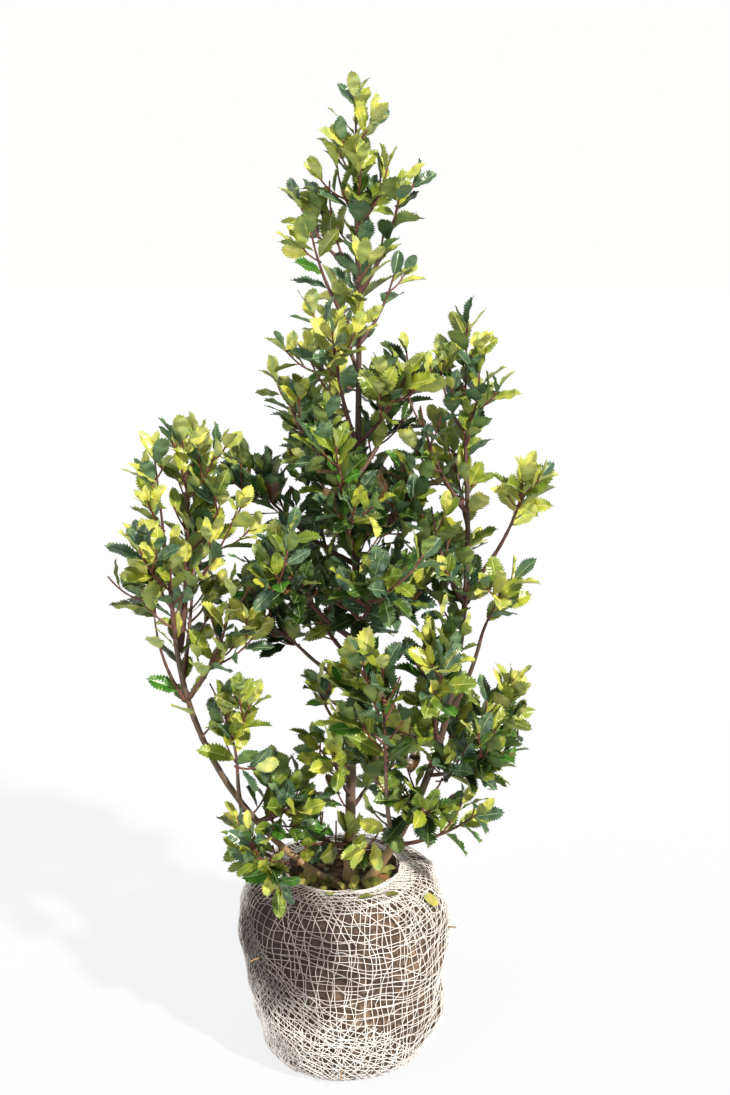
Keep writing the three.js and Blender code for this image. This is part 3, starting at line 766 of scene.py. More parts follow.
def keep_fitting(spray, territory, shoots, limb_room, shoot_room):
    """Adds those of the new shoots that stay inside the spray's space."""
    for shoot in shoots:
        points = shoot.curve.samples(CLEAR["sample"])[1:]
        if (
            clear_of_limbs(points, limb_room)
            and clear_of_ball(points)
            and within_reach(points)
            and territory.holds(spray, points, shoot_room)
        ):
            spray.shoots.append(shoot)


# %% [markdown]
# ## Side shoots
#
# Side shoots leave a stem one after another, each further up and turned on, but only to one of three
# sides, which keeps them apart. Lower ones are longer. The frame's solids have the same ones, so the
# draws have to be taken in the same order here.

# %% Side shoots, by the same draws as the frame's solids
def side_shoots(spray):
    """Shoots in a spiral up the stem, shorter towards its tip."""
    stem = spray.stem
    start = spray.draw() * 2 * math.pi
    for i in range(spray.sides):
        part = (i + 0.5 + SIDE_SCATTER * (spray.draw() - 0.5)) / spray.sides
        share = SIDE_ZONE[0] + (SIDE_ZONE[1] - SIDE_ZONE[0]) * part
        turn = start + i * SPIRAL + SIDE_TURN * spray.draw()
        wanted = stem.curve.length * SIDE_SHARE * (SIDE_TAPER[0] - SIDE_TAPER[1] * share)
        length = np.clip(wanted * (1 + SIZE_SPREAD * (2 * spray.draw() - 1)), *SIDE_LENGTH)
        curve = stem.side(share, nearest_flat(turn), float(length))
        yield Shoot(curve, SIDE_RADIUS, SIDE_BARE, 1)


territory = Territory()
for spray in sprays:
    keep_fitting(spray, territory, list(side_shoots(spray)), CLEAR["limb"], CLEAR["shoot"])
print(sum(len(spray.shoots) for spray in sprays), "stems and side shoots")

# %% [markdown]
# ## Finer twigs
#
# The solids of the frame stop at the side shoots. The real shrub branches once more, into short
# twigs with a rosette of leaves each, most of them deep in the crown. They grow by the same rule on
# every stem and side shoot, from a second row of draws, and keep inside the same space.

# %% Fine twigs
FINE_SPACING = {0: 44, 1: 38, 2: 25, 3: 17, 4: 14}  # mm of shoot for each twig, by side shoots
FINE_LENGTH = (18, 52)
FINE_END = 0.94  # share of the shoot that has twigs
FINE_SCATTER = (0.2, 0.6)  # where in its part of the shoot a twig springs: from, and how far on
FINE_TURN = 0.8
FINE_RADIUS = 1.15
FINE_BARE = 0.3
FINE_CLEAR = {"limb": 3, "shoot": 2.5}
FINE_SEED = 500


def fine_twigs(spray, draws):
    """Twigs in a spiral along every shoot of a spray."""
    shortest, longest = FINE_LENGTH
    first, further = FINE_SCATTER
    for shoot in list(spray.shoots):
        spacing = FINE_SPACING[spray.sides]
        count = int(shoot.curve.length * (1 - shoot.bare) / spacing)
        start = next(draws) * 2 * math.pi
        for i in range(count):
            part = i + first + further * next(draws)
            share = shoot.bare + (FINE_END - shoot.bare) * part / count
            turn = start + i * SPIRAL + FINE_TURN * next(draws)
            length = shortest + (longest - shortest) * next(draws)
            yield Shoot(shoot.side(share, turn, length), FINE_RADIUS, FINE_BARE, 2)


territory = Territory()
for spray in sprays:
    new_twigs = list(fine_twigs(spray, random_stream(FINE_SEED + spray.number)))
    keep_fitting(spray, territory, new_twigs, FINE_CLEAR["limb"], FINE_CLEAR["shoot"])
territory = Territory()
print(sum(len(spray.shoots) for spray in sprays), "shoots with the fine twigs")

# %% [markdown]
# ## Where the leaves sit
#
# Holly leaves follow one another in a spiral of 137.5 degrees, close together at the tip and evenly
# spaced below. The youngest stand almost in line with the shoot, older ones lean out. Each leaf is
# kept only where its blade runs into neither a limb nor the ball nor its neighbours.

# %% A leaf, and how its size and place are drawn
LEAF_LENGTH = 43  # of a grown leaf with its stalk
LEAF_WIDTH = 0.7  # share of the length
WIDEST = 0.55  # share of the length at which a leaf is measured across
GROWTH = (0.78, 0.08, 3)  # size of a shoot's youngest leaf, what the next ones gain, and how many do
SIZE_DRAW = (0.84, 0.32)  # least size, and how much more
GROWN_SIZE = (1.0, 1.0, 0.86, 0.95)  # by the order of the shoot: leaves of fine twigs are smaller

FIRST_LEAF = 2.2  # from the shoot's tip to its youngest leaf
TIP_LEAVES, TIP_SPACING = 2, 3  # the leaves at the tip sit closer together
LEAF_SPACING = 9
TURN_DRAW = 0.5  # how far a leaf may stray from the spiral, in radians
LEAF_ANGLES = (10, 24, 34, 42, 50)  # degrees from the shoot, youngest first
ANGLE_DRAW = 14  # and how much of that is drawn

ROLL = math.radians(65)  # most that a blade turns about its midrib, either way
SKYWARD = 0.3  # blades look a little higher than the sun
LIGHT = unit(np.array(SUN_FROM) + UP * SKYWARD)
TO_LIGHT = 0.75  # how strongly blades turn their upper face to the light


class Leaf:
    """Where a leaf is rooted, where it points, which way its upper face looks, and its size."""

    def __init__(self, root, along, face, size, rank, order):
        self.root = root
        self.along = along
        self.face = face
        self.size = size
        self.rank = rank  # 0 for the youngest of its shoot
        self.order = order
        self.part = None  # the part of the crown that it grows in

    def outline(self):
        """Some points of the blade, to measure it by."""
        across = np.cross(self.along, self.face) * self.size * LEAF_WIDTH / 2
        half = self.root + self.along * self.size * WIDEST
        tip = self.root + self.along * self.size
        edges = [half + across, half - across]
        between = [(tip + edge) / 2 for edge in edges]
        return np.array([*edges, tip, half, (half + tip) / 2, *between])


# %% Leaves of a shoot
def leaves_of(shoot, draw, spacing=LEAF_SPACING):
    """The leaves of a shoot, from its tip down to where it is bare."""
    youngest, gain, gaining = GROWTH
    least, more = SIZE_DRAW
    start = draw() * 2 * math.pi
    k = 0
    while True:
        below = max(k - TIP_LEAVES, 0) * spacing
        from_tip = FIRST_LEAF + min(k, TIP_LEAVES) * TIP_SPACING + below
        share = 1 - from_tip / shoot.curve.length
        if share < shoot.bare:
            return
        turn = start + k * SPIRAL + TURN_DRAW * (draw() - 0.5)
        angle = LEAF_ANGLES[min(k, len(LEAF_ANGLES) - 1)]
        tilt = math.radians(angle + ANGLE_DRAW * (draw() - 0.5))
        size = LEAF_LENGTH * (youngest + gain * min(k, gaining)) * (least + more * draw())
        roll = ROLL * (2 * draw() - 1)
        axis = shoot.curve.along(share)
        out = shoot.curve.around(share, turn)
        along = unit(axis * math.cos(tilt) + out * math.sin(tilt))
        upper = unit(axis - along * (axis @ along))
        face = upper * math.cos(roll) + np.cross(along, upper) * math.sin(roll)
        face = unit(face + TO_LIGHT * (LIGHT - along * (LIGHT @ along)))
        root = shoot.curve.at(share) + out * shoot.leaves_out
        yield Leaf(root, along, face, size * GROWN_SIZE[shoot.order], k, shoot.order)
        k += 1


# %% All leaves, and whether there is room for one more
LEAF_ROOM = {"limb": 1.5, "leaf": 2.4}
KEPT_POINTS = 4  # of a leaf's outline: its edges, its tip and its middle
FAR_AWAY = 1e6


class Foliage:
    """The leaves so far, and some points of each, by which a new one is measured."""

    def __init__(self):
        self.leaves = []
        self.points = np.full((1, 3), FAR_AWAY)

    def has_room(self, leaf):
        """Whether a leaf runs into none of the others and into no limb."""
        points = leaf.outline()
        free = distances(points, self.points).min() > LEAF_ROOM["leaf"]
        return free and clear_of_limbs(points, LEAF_ROOM["limb"])

    def take(self, leaf, part):
        """Keeps a leaf, which grows in a part of the crown."""
        leaf.part = part
        self.points = np.vstack([self.points, leaf.outline()[:KEPT_POINTS]])
        self.leaves.append(leaf)


# %% Leaves on the sprays
MINGLE = {"crown": 10, "centre": 10, "lower": 6, "right": 3}  # how far leaves may pass a neighbour's
LARGER = {"front_spray": 1.2, "right_front": 1.12, "low_front": 1.12, "low_centre": 1.08}

foliage = Foliage()
for spray in sprays:
    part = spray.name.split("_")[0]
    for shoot in spray.shoots:
        for leaf in leaves_of(shoot, spray.draw):
            leaf.size *= LARGER.get(spray.name, 1.0)
            points = leaf.outline()
            if (
                foliage.has_room(leaf)
                and clear_of_ball(points)
                and within_reach(points)
                and territory.holds(spray, points, -MINGLE.get(part, 0))
            ):
                foliage.take(leaf, part)
print(len(foliage.leaves), "leaves on the sprays")

# %% Leaves on the young ends of the stems
LEAFY_FROM = {"trunk": 0.9, "right_stem": 0.8, "left_bough": 0.8}  # share of the stem
STEM_LEAF_SPACING = 8
STEM_LEAVES_OUT = 1.8
STEM_LEAF_SEED = 900

for number, (name, share) in enumerate(LEAFY_FROM.items()):
    stem = Shoot(limbs[name].curve, 0, share, 3)
    stem.leaves_out = STEM_LEAVES_OUT
    draws = random_stream(STEM_LEAF_SEED + number)
    for leaf in leaves_of(stem, lambda: next(draws), STEM_LEAF_SPACING):
        if foliage.has_room(leaf):
            foliage.take(leaf, "stem")
print(len(foliage.leaves), "leaves with those of the stems")

# %% [markdown]
# ## Spurs
#
# Old wood in the thick of the crown carries short leafy shoots too, which fill the gaps between the
# sprays. Their places are chosen one by one, and their leaves have to find room among those that are
# already there.

# %% The table of spurs
SPURS = [  # on, at, turn, reach, rise
    ("trunk", 318, -150, 20, 34),
    ("trunk", 446, -165, 40, 38),
    ("trunk", 612, -98, 24, 48),
    ("trunk", 624, -172, 38, 40),
    ("trunk", 634, 14, 34, 40),
    ("trunk", 646, -58, 28, 42),
    ("trunk", 656, 164, 42, 40),
    ("trunk", 664, -128, 30, 44),
    ("trunk", 690, 178, 62, 46),
    ("trunk", 704, -142, 54, 40),
    ("trunk", 846, -170, 58, 40),
    ("right_stem", 345, 150, 20, 44),
    ("right_stem", 556, -160, 34, 46),
    ("right_stem", 582, -84, 24, 40),
    ("left_bough", 330, -10, 24, 44),
    ("left_bough", 436, 30, 32, 44),
]
print(len(SPURS), "spurs")

# %% Short leafy shoots on old wood
SPUR_KNEE = (0.6, 0.3)  # shares of the reach and the rise at which a spur turns up
SPUR_RADIUS = 1.3
SPUR_BARE = 0.25
SPUR_SEED = 700


def spur_on(name, at, turn, reach, rise):
    """A shoot that leaves a limb at a height and turns up."""
    base = limbs[name].curve.at(share_at_height(limbs[name].curve, at))
    out = heading(turn) * reach
    knee = base + out * SPUR_KNEE[0] + UP * rise * SPUR_KNEE[1]
    return Shoot(Curve(base, knee, base + out + UP * rise), SPUR_RADIUS, SPUR_BARE, 2)


spurs = [spur_on(*row) for row in SPURS]
spur_draws = random_stream(SPUR_SEED)
for spur in spurs:
    for leaf in leaves_of(spur, lambda: next(spur_draws)):
        if foliage.has_room(leaf) and within_reach(leaf.outline()):
            # spur leaves count as the crown's middle, which paints them darker with shade
            foliage.take(leaf, "centre")
print(len(foliage.leaves), "leaves with those of the spurs")

# %% [markdown]
# ## The shape of a leaf
#
# A holly leaf is widest past its middle, narrows to its stalk, and ends in a spine. Small forward
# teeth run along its outer two thirds. The blade is folded up along a pale midrib, its edges wave,
# and its tip curls back. Drawing one leaf by hand and copying it would make them all alike, so the
# outline is a row of stations, and every leaf gets its own fold, curl and wave.

# %% Stations along a leaf
TEETH = 8
FIRST_TOOTH = 0.25  # share of the length at which the teeth begin
LAST_TOOTH = 0.95
TOOTH_POINT = 0.8  # share of a tooth's length at which it stands out most
NOTCH, POINT = 0.86, 1.09  # the width there, as a share of a blade's with no teeth
POINT_OUT = 0.035
PLAIN = (0.07, 0.17)  # shares of the length at which the toothless foot of a blade is measured
FOOT_WIDTH = 0.06
SPINE = [(LAST_TOOTH + 0.005, 0.14, 0), (1.03, 0.012, 0)]
FULLNESS, FROM_STALK, TO_TIP = 1.98, 0.76, 0.68


def blade_width(share):
    """Width of a blade with no teeth, as a share of the breadth: widest past the middle."""
    return FULLNESS * share**FROM_STALK * (1 - share) ** TO_TIP


def stations():
    """Share of the length, share of the breadth, and 1 at the point of a tooth."""
    rows = [(0.0, FOOT_WIDTH, 0), *((share, blade_width(share), 0) for share in PLAIN)]
    pitch = (LAST_TOOTH - FIRST_TOOTH) / TEETH
    for i in range(TEETH):
        notch = FIRST_TOOTH + i * pitch
        point = notch + TOOTH_POINT * pitch
        rows.append((notch, NOTCH * blade_width(notch), 0))
        rows.append((point, POINT * blade_width(point) + POINT_OUT, 1))
    return np.array(rows + SPINE)


STATIONS = stations()
print(f"{len(STATIONS)} stations, widest {STATIONS[:, 1].max():.2f}")

# %% How blades differ
RIB = 0.045  # half the width of the midrib, as a share of half the blade's
UPPER = np.array([-1, -0.52, -RIB, RIB, 0.52, 1])  # columns of the upper side
UNDER = np.array([1, 0, -1])  # the under side is drawn the other way round
STALK = 3.6  # bare stalk between the twig and the blade
FORMS = {  # least and most, drawn for each leaf
    "fold": (0.16, 0.6),
    "curl": (0.02, 0.2),
    "bend": (-0.08, 0.08),
    "wave": (0.014, 0.04),
}
BREADTH = (0.88, 1.14)
DISH = 0.36  # how much the fold flattens towards the edge
RIPPLES = 2.3  # waves along an edge
SMOOTH_FOOT = 0.1  # share of the length with no waves
TOOTH_UP, TOOTH_AHEAD = 0.012, 0.02
CURL_BACK = 0.35
RIB_DROP = {"upper": 0.006, "under": 0.022}  # how deep the midrib lies
print(f"{(len(STATIONS) - 1) * (len(UPPER) + len(UNDER) - 2)} faces for each leaf")


# %% Blades of many leaves at once
def blades(leaves, draws):
    """The points of all upper and all under sides: leaves x stations x columns x 3."""
    count = len(leaves)
    along = np.array([leaf.along for leaf in leaves])
    face = np.array([leaf.face for leaf in leaves])
    size = np.array([leaf.size for leaf in leaves]) - STALK
    root = np.array([leaf.root for leaf in leaves]) + along * STALK
    across = np.cross(face, along)
    fold, curl, bend, wave = (draws.uniform(*span, count)[:, None, None] for span in FORMS.values())
    phase = draws.uniform(0, 2 * np.pi, (count, 2))
    breadth = LEAF_WIDTH * draws.uniform(*BREADTH, count)[:, None, None]
    share, width, point = STATIONS.T[:, None, :, None]
    length = size[:, None, None, None]

    def surface(columns, rib_drop):
        v = columns[None, None, :]
        side = v * (width * breadth) / 2  # in leaf lengths
        out = np.abs(side)
        lift = fold * out - DISH * out**2 / LEAF_WIDTH
        ripple = np.where(v > 0, phase[:, :1, None], phase[:, 1:, None])
        waves = np.sin(2 * np.pi * RIPPLES * share + ripple)
        lift = lift + wave * v**2 * waves * (share > SMOOTH_FOOT)
        lift = lift + TOOTH_UP * point * v**2
        lift = lift - curl * share**2 - rib_drop * (np.abs(v) <= RIB) * (1 - share)
        drift = side + bend * share**2
        ahead = share - CURL_BACK * curl**2 * share**3 + TOOTH_AHEAD * point * np.abs(v)
        return (
            root[:, None, None]
            + along[:, None, None] * ahead[..., None] * length
            + across[:, None, None] * drift[..., None] * length
            + face[:, None, None] * lift[..., None] * length
        )

    return surface(UPPER, RIB_DROP["upper"]), surface(UNDER, RIB_DROP["under"])


# %% Which finish each face of a leaf has
BLADE, MIDRIB, UNDERSIDE = 0, 1, 2


def leaf_heap(leaves, draws):
    """Leaves with an upper and an under side each, and the finish of each face."""
    heap = Heap()
    upper, under = blades(leaves, draws)
    upper_faces = net_faces(len(STATIONS), len(UPPER))
    under_faces = net_faces(len(STATIONS), len(UNDER))
    rib = (np.arange(len(upper_faces)) % (len(UPPER) - 1)) == len(UPPER) // 2 - 1
    upper_finishes = np.where(rib, MIDRIB, BLADE)
    for top, bottom in zip(upper, under):
        heap.add(top, upper_faces, upper_finishes)
        heap.add(bottom, under_faces, UNDERSIDE)
    return heap


# %% [markdown]
# ## Leaf finishes
#
# Young leaves are yellow-green and let the sun through, older ones are dark and glossy. One kind has
# bluish blades, and that tone is a painted reflection of the sky. A picture of a leaf on every blade
# would be heavy and would smear when the many blades share one image, so a leaf has plain colours,
# dealt out by age and by painted light and shade: its blade, its pale midrib and its dull, lighter
# underside. Over the blade a cloudy pattern mixes a paler and a darker tone.

# %% Colours by age, and a painted reflection of the sky
AGES = {  # blade, midrib, underside, roughness and sheen of the blade
    "fresh": ((0.47, 0.48, 0.11), (0.66, 0.56, 0.32), (0.46, 0.50, 0.20), 0.30, 0.1),
    "lime": ((0.345, 0.375, 0.052), (0.56, 0.52, 0.22), (0.39, 0.44, 0.13), 0.30, 0.05),
    "young": ((0.243, 0.285, 0.032), (0.48, 0.46, 0.18), (0.31, 0.37, 0.11), 0.28, 0.05),
    "grown": ((0.152, 0.205, 0.026), (0.38, 0.40, 0.15), (0.22, 0.29, 0.10), 0.28, 0.05),
    "olive": ((0.120, 0.142, 0.018), (0.34, 0.33, 0.13), (0.19, 0.23, 0.08), 0.28, 0.05),
    "leafy": ((0.048, 0.150, 0.018), (0.25, 0.36, 0.13), (0.15, 0.25, 0.08), 0.26, 0.05),
    # bluish blades: a painted reflection of the sky
    "slate": ((0.062, 0.112, 0.074), (0.24, 0.33, 0.19), (0.13, 0.21, 0.12), 0.26, 0.25),
    "deep": ((0.044, 0.086, 0.012), (0.22, 0.28, 0.10), (0.11, 0.17, 0.06), 0.26, 0.05),
    "dusky": ((0.018, 0.036, 0.007), (0.13, 0.18, 0.06), (0.060, 0.10, 0.04), 0.26, 0.05),
    "bronze": ((0.10, 0.050, 0.022), (0.22, 0.13, 0.07), (0.14, 0.10, 0.05), 0.30, 0.05),
}
print(len(AGES), "ages of leaves")

# %% The finish of a blade
SPECULAR = 0.4
SHEEN_ROUGHNESS = 0.16
THROUGH = 0.14  # share of the light that a blade lets through
SAPPY = (1.35, 1.25, 0.95)  # how the paler patches of a blade differ from its colour
SHADED = (0.60, 0.74, 0.66)  # and the darker ones
PATCHES, BUMPS, PUCKERS = (17, 1), (8, 1), (2.4, 1)  # millimetres across, and detail
PATCH_GAIN, PATCH_SHIFT = 2.4, 0.7
PUCKER_HEIGHT = 0.25
BLADE_RELIEF = 0.8


def toned(colour, tones):
    """A colour made paler or darker, part by part."""
    return tuple(min(1, part * tone) for part, tone in zip(colour, tones))


def leaf_finish(name, colour, roughness, glow, sheen):
    """A blade: patches of two tones, small bumps, a gloss, and light from behind."""
    finish = Finish(name, roughness)
    patches = mottle(finish, *PATCHES) * PATCH_GAIN - PATCH_SHIFT
    tone = blend(finish, toned(colour, SHADED), toned(colour, SAPPY), patches)
    finish.set(Base_Color=tone)
    finish.set(Coat_Weight=sheen, Coat_Roughness=SHEEN_ROUGHNESS, Specular_IOR_Level=SPECULAR)
    bumps = mottle(finish, *BUMPS) + mottle(finish, *PUCKERS) * PUCKER_HEIGHT
    raised(finish, bumps, BLADE_RELIEF)
    if glow:
        through = finish.add("ShaderNodeBsdfTranslucent", None, {"Color": glow})
        sockets = {0: THROUGH, 1: finish.shader.outputs["BSDF"], 2: through.outputs["BSDF"]}
        both = finish.add("ShaderNodeMixShader", None, sockets)
        finish.fill(finish.nodes.nodes["Material Output"].inputs["Surface"], both.outputs["Shader"])
    return finish


# %% The three finishes of a leaf
RIB_ROUGHNESS, UNDER_ROUGHNESS = 0.45, 0.6
GLOW = 1.5  # the light through a leaf is so much brighter than its underside


def leaf_finishes(name, blade, rib, under, roughness, sheen):
    """The finishes of blade, midrib and underside, in the order of the faces' numbers."""
    glow = toned(under, (GLOW, GLOW, GLOW))
    return [
        leaf_finish(f"{name}_blade", blade, roughness, glow, sheen),
        leaf_finish(f"{name}_midrib", rib, RIB_ROUGHNESS, None, 0.0),
        leaf_finish(f"{name}_underside", under, UNDER_ROUGHNESS, glow, 0.0),
    ]


# %% [markdown]
# ## Dealing out ages, with painted light and shade
#
# The youngest leaves are at the tips of shoots that reach the light. Crowding tells how deep in the
# crown a leaf sits: the number of shoots' points around it. The more there are, the older and darker
# its leaves: partly their age, partly painted shade. A table of the crown's parts paints light too,
# with paler leaves on the parts in full sun, and shade, with darker ones in the middle.

# %% What makes a leaf older, or darker with painted shade
CROWD_REACH = 55
CROWD_OPEN, CROWD_SHUT = 30, 150
# crowding adds age and painted shade
CROWD_AGE_AND_SHADE, RANK_AGE, FINE_AGE = 0.6, 0.08, 0.06  # what crowding, rank and a fine twig add
OLDEST_RANK = 5
AGE_SPREAD = 0.25
# painted light and shade: parts in full sun get paler leaves, the shaded middle darker ones
PART_AGE_AND_SHADE = {  # parts of the crown in full sun have younger leaves, the shaded middle older ones
    "top": -0.38, "upper": -0.32, "high": -0.24, "left": -0.55, "right": -0.28, "far": -0.33,
    "over": -0.30, "low": -0.12, "front": -0.12, "thin": -0.1, "stem": -0.1,
    "crown": 0.02, "centre": 0.12, "lower": 0.14, "inner": -0.2,
}
# darker kinds stand for older leaves and for painted shade
LEAST_AGE_AND_SHADE = {  # oldest first
    "dusky": 1.0,
    "deep": 0.80,
    "leafy": 0.70,
    "olive": 0.56,
    "grown": 0.38,
    "young": 0.23,
    "lime": 0.10,
}
BRONZE_SHARE = 0.04  # of the leaves in the crown's heart
# leaves with the painted sky reflection, more of them in the shaded parts
PAINTED_SKY_SHARE = {"shade": 0.3, "sun": 0.16}  # bronze ones included


def crowding(leaf):
    """0 for a leaf in the open, 1 for one deep in the crown."""
    near = distances(leaf.root[None], territory.points)[0] < CROWD_REACH
    return float(np.clip((near.sum() - CROWD_OPEN) / (CROWD_SHUT - CROWD_OPEN), 0, 1))


def age_and_shade_of(leaf, draws):
    """The name of a leaf's kind: by its age, painted light and shade at its place, and a draw."""
    # painted shade deep in the crown, and painted light and shade by part, go in with the age
    age_and_shade = CROWD_AGE_AND_SHADE * crowding(leaf) + RANK_AGE * min(leaf.rank, OLDEST_RANK)
    age_and_shade += FINE_AGE * (leaf.order == 2)
    age_and_shade += PART_AGE_AND_SHADE[leaf.part] + draws.normal(0, AGE_SPREAD)
    chance = draws.random()
    if chance < BRONZE_SHARE and leaf.part in ("crown", "centre"):
        return "bronze"
    shaded = leaf.part in ("crown", "centre", "lower")
    # the painted reflection of the sky
    if chance < PAINTED_SKY_SHARE["shade" if shaded else "sun"]:
        return "slate"
    return next((name for name, least in LEAST_AGE_AND_SHADE.items() if age_and_shade > least), "fresh")


# %% Leaves sorted by age and by painted light and shade
AGE_SEED = 2024

age_draws = np.random.default_rng(AGE_SEED)
by_age_and_shade = {age_and_shade: [] for age_and_shade in AGES}
for leaf in foliage.leaves:
    by_age_and_shade[age_and_shade_of(leaf, age_draws)].append(leaf)
print({age_and_shade: len(some) for age_and_shade, some in by_age_and_shade.items()})

# %% Leaves as pieces, one for each kind
LEAF_SEED = 77

leaf_draws = np.random.default_rng(LEAF_SEED)
for age_and_shade, some in by_age_and_shade.items():
    finishes = leaf_finishes(age_and_shade, *AGES[age_and_shade])
    leaf_heap(some, leaf_draws).make(f"leaves_{age_and_shade}", "foliage", finishes, FOLIAGE_NODES)

# %% [markdown]
# ## Twigs and leaf stalks
#
# A twig is a round tube that follows its shoot's curve and tapers. It starts a little inside what it
# grows on, as a real one does, and ends in a pointed bud. Each leaf has its own short red stalk.

# %% Tubes
def tube(curve, shares, radii, sides):
    """Points of a tube round a curve, and its faces."""
    shares = np.asarray(shares, float)
    angles = np.linspace(0, 2 * np.pi, sides, endpoint=False)
    ring = curve.around(shares[:, None], angles[None, :])
    radii = np.asarray(radii, float)
    points = curve.at(shares)[:, None] + ring * radii.reshape(len(shares), -1, 1)
    faces = net_faces(len(shares), sides, closed=True)
    return points.reshape(-1, 3), faces


# %% A twig
TWIG_SIDES = 7
TWIG_RING = 6  # millimetres between rings
FEWEST_RINGS = 4
TWIG_TIP = 1.05
TWIG_TAPER = 0.8
KNOT, KNOT_STEP, KNOT_START = 0.09, 2.4, 7  # twigs swell and thin a little from ring to ring
BUD_LENGTH = 3.5
BUD_RINGS = np.array([0.35, 0.75, 1.0])  # shares of its length
BUD_RADII = (TWIG_TIP * 1.15, TWIG_TIP * 0.7, 0.1)


def add_twig(heap, shoot):
    """A tapering tube with a bud at its tip."""
    length = shoot.curve.length
    steps = max(FEWEST_RINGS, round(length / TWIG_RING))
    shares = np.concatenate([[-shoot.root / length], np.linspace(0, 1, steps + 1)])
    radii = shoot.radius + (TWIG_TIP - shoot.radius) * np.clip(shares, 0, 1) ** TWIG_TAPER
    rings = np.arange(len(shares))
    radii = radii * (1 + KNOT * np.sin(rings * KNOT_STEP + shoot.radius * KNOT_START))
    shares = np.concatenate([shares, 1 + BUD_RINGS * BUD_LENGTH / length])
    radii = np.concatenate([radii, BUD_RADII])
    heap.add(*tube(shoot.curve, shares, radii, TWIG_SIDES))


# %% A leaf stalk
STALK_RADII = (0.8, 0.45)  # at the twig and under the blade
STALK_INSIDE = 0.5  # how far a stalk reaches into the twig
STALK_ON = 0.8  # and how far on under the blade
STALK_UNDER = 0.3


def add_stalk(heap, leaf):
    """A four-sided stalk from inside the twig to the blade."""
    start = leaf.root - leaf.along * STALK_INSIDE
    end = leaf.root + leaf.along * (STALK + STALK_ON)
    across = np.cross(leaf.face, leaf.along)
    corners = np.array([across, leaf.face, -across, -leaf.face])
    first = start + corners * STALK_RADII[0]
    last = end + corners * STALK_RADII[1] - leaf.face * STALK_UNDER
    heap.add(np.vstack([first, last]), net_faces(2, len(corners), closed=True))


# %% [markdown]
# ## Bark of twigs
#
# Twigs are reddish purple and leaf stalks red. A cloudy pattern that is drawn out upwards stands for
# the fibres: it mixes two tones and raises the surface a little.

# %% Finishes of twigs and stalks
FIBRES = (1, 1, 0.3)  # how the pattern is stretched: a smaller number draws it out
FIBRE_DETAIL = 5
FIBRE_RELIEF = 0.5
TWIG_BARKS = {  # low and high tone, roughness, grain in millimetres
    "twig_bark": ((0.055, 0.016, 0.012), (0.20, 0.072, 0.045), 0.5, 4),
    "stem_bark": ((0.040, 0.016, 0.013), (0.14, 0.060, 0.042), 0.55, 5),
    "stalk_skin": ((0.34, 0.10, 0.05), (0.52, 0.22, 0.10), 0.45, 9),
}


def bark_finish(name, low, high, roughness, grain):
    """Smooth young bark in two tones."""
    finish = Finish(name, roughness)
    streaks = mottle(finish, grain, FIBRE_DETAIL, FIBRES)
    finish.set(Base_Color=blend(finish, low, high, streaks))
    raised(finish, streaks, FIBRE_RELIEF)
    return finish


twig_bark, stem_bark, stalk_skin = (bark_finish(name, *row) for name, row in TWIG_BARKS.items())
print(", ".join(TWIG_BARKS))

# %% Twigs, stems and stalks as pieces
stems, twigs, stalks = Heap(), Heap(), Heap()
for spray in sprays:
    for shoot in spray.shoots:
        add_twig(stems if shoot.order == 0 else twigs, shoot)
for spur in spurs:
    add_twig(twigs, spur)
for leaf in foliage.leaves:
    add_stalk(stalks, leaf)
stems.make("spray_stems", "bark", [stem_bark], FOLIAGE_NODES)
twigs.make("side_twigs", "bark", [twig_bark], FOLIAGE_NODES)
stalks.make("leaf_stalks", "bark", [stalk_skin], FOLIAGE_NODES)

# %% [markdown]
# ## Limbs with the bark's relief
#
# The bark of a young holly is smooth, with fine upright wrinkles, small warts and a swelling where
# each bough leaves. The wrinkles are modelled: every point of a dense tube is pushed out by noise
# that is drawn out along the limb.

# %% Limb meshes
LIMB_SIDES = 28
LIMB_RING = 3.5
WRINKLE, WRINKLE_SCALE = 0.055, (0.42, 0.42, 0.07)  # depth as a share of the radius, and noise per mm
WART, WART_SCALE, WART_SHIFT = 0.10, 0.11, 40
ROOTED = 7.0  # how far a limb's mesh reaches back into what it grows on
COLLAR_SWELL, COLLAR_REACH = 0.3, 7  # a bough swells where it leaves its stem


def bark_relief(points, radius):
    """How far bark stands out at each point, in millimetres."""
    wrinkles = [noise.noise(Vector(p * WRINKLE_SCALE)) for p in points]
    warts = [noise.noise(Vector(p * WART_SCALE + WART_SHIFT)) for p in points]
    return WRINKLE * radius * np.array(wrinkles) + WART * radius * np.array(warts)


def add_limb(heap, limb):
    """A limb as a dense tube with relief, closed at both ends."""
    length = limb.curve.length
    shares = np.linspace(0, 1, round(length / LIMB_RING) + 1)
    shares = np.concatenate([[-ROOTED / length, -ROOTED / 2 / length], shares])
    on_limb = np.clip(shares, 0, 1)
    radii = limb.radius_at(on_limb)
    if limb.on is not None:
        radii = radii * (1 + COLLAR_SWELL * np.exp(-on_limb * length / COLLAR_REACH))
    core = np.repeat(limb.curve.at(shares), LIMB_SIDES, axis=0)
    around = np.repeat(radii, LIMB_SIDES)
    points, faces = tube(limb.curve, shares, radii, LIMB_SIDES)
    points = points + unit(points - core) * bark_relief(points, around)[:, None]
    heap.add(points, faces)
    heap.cap(LIMB_SIDES, -len(points))
    heap.cap(LIMB_SIDES, -LIMB_SIDES)


# %% [markdown]
# ## Old wood
#
# Young wood is purple-brown, older wood further down is greyer, and the foot of the stems is tan. The
# colour changes with height, so a ramp along the height does it.

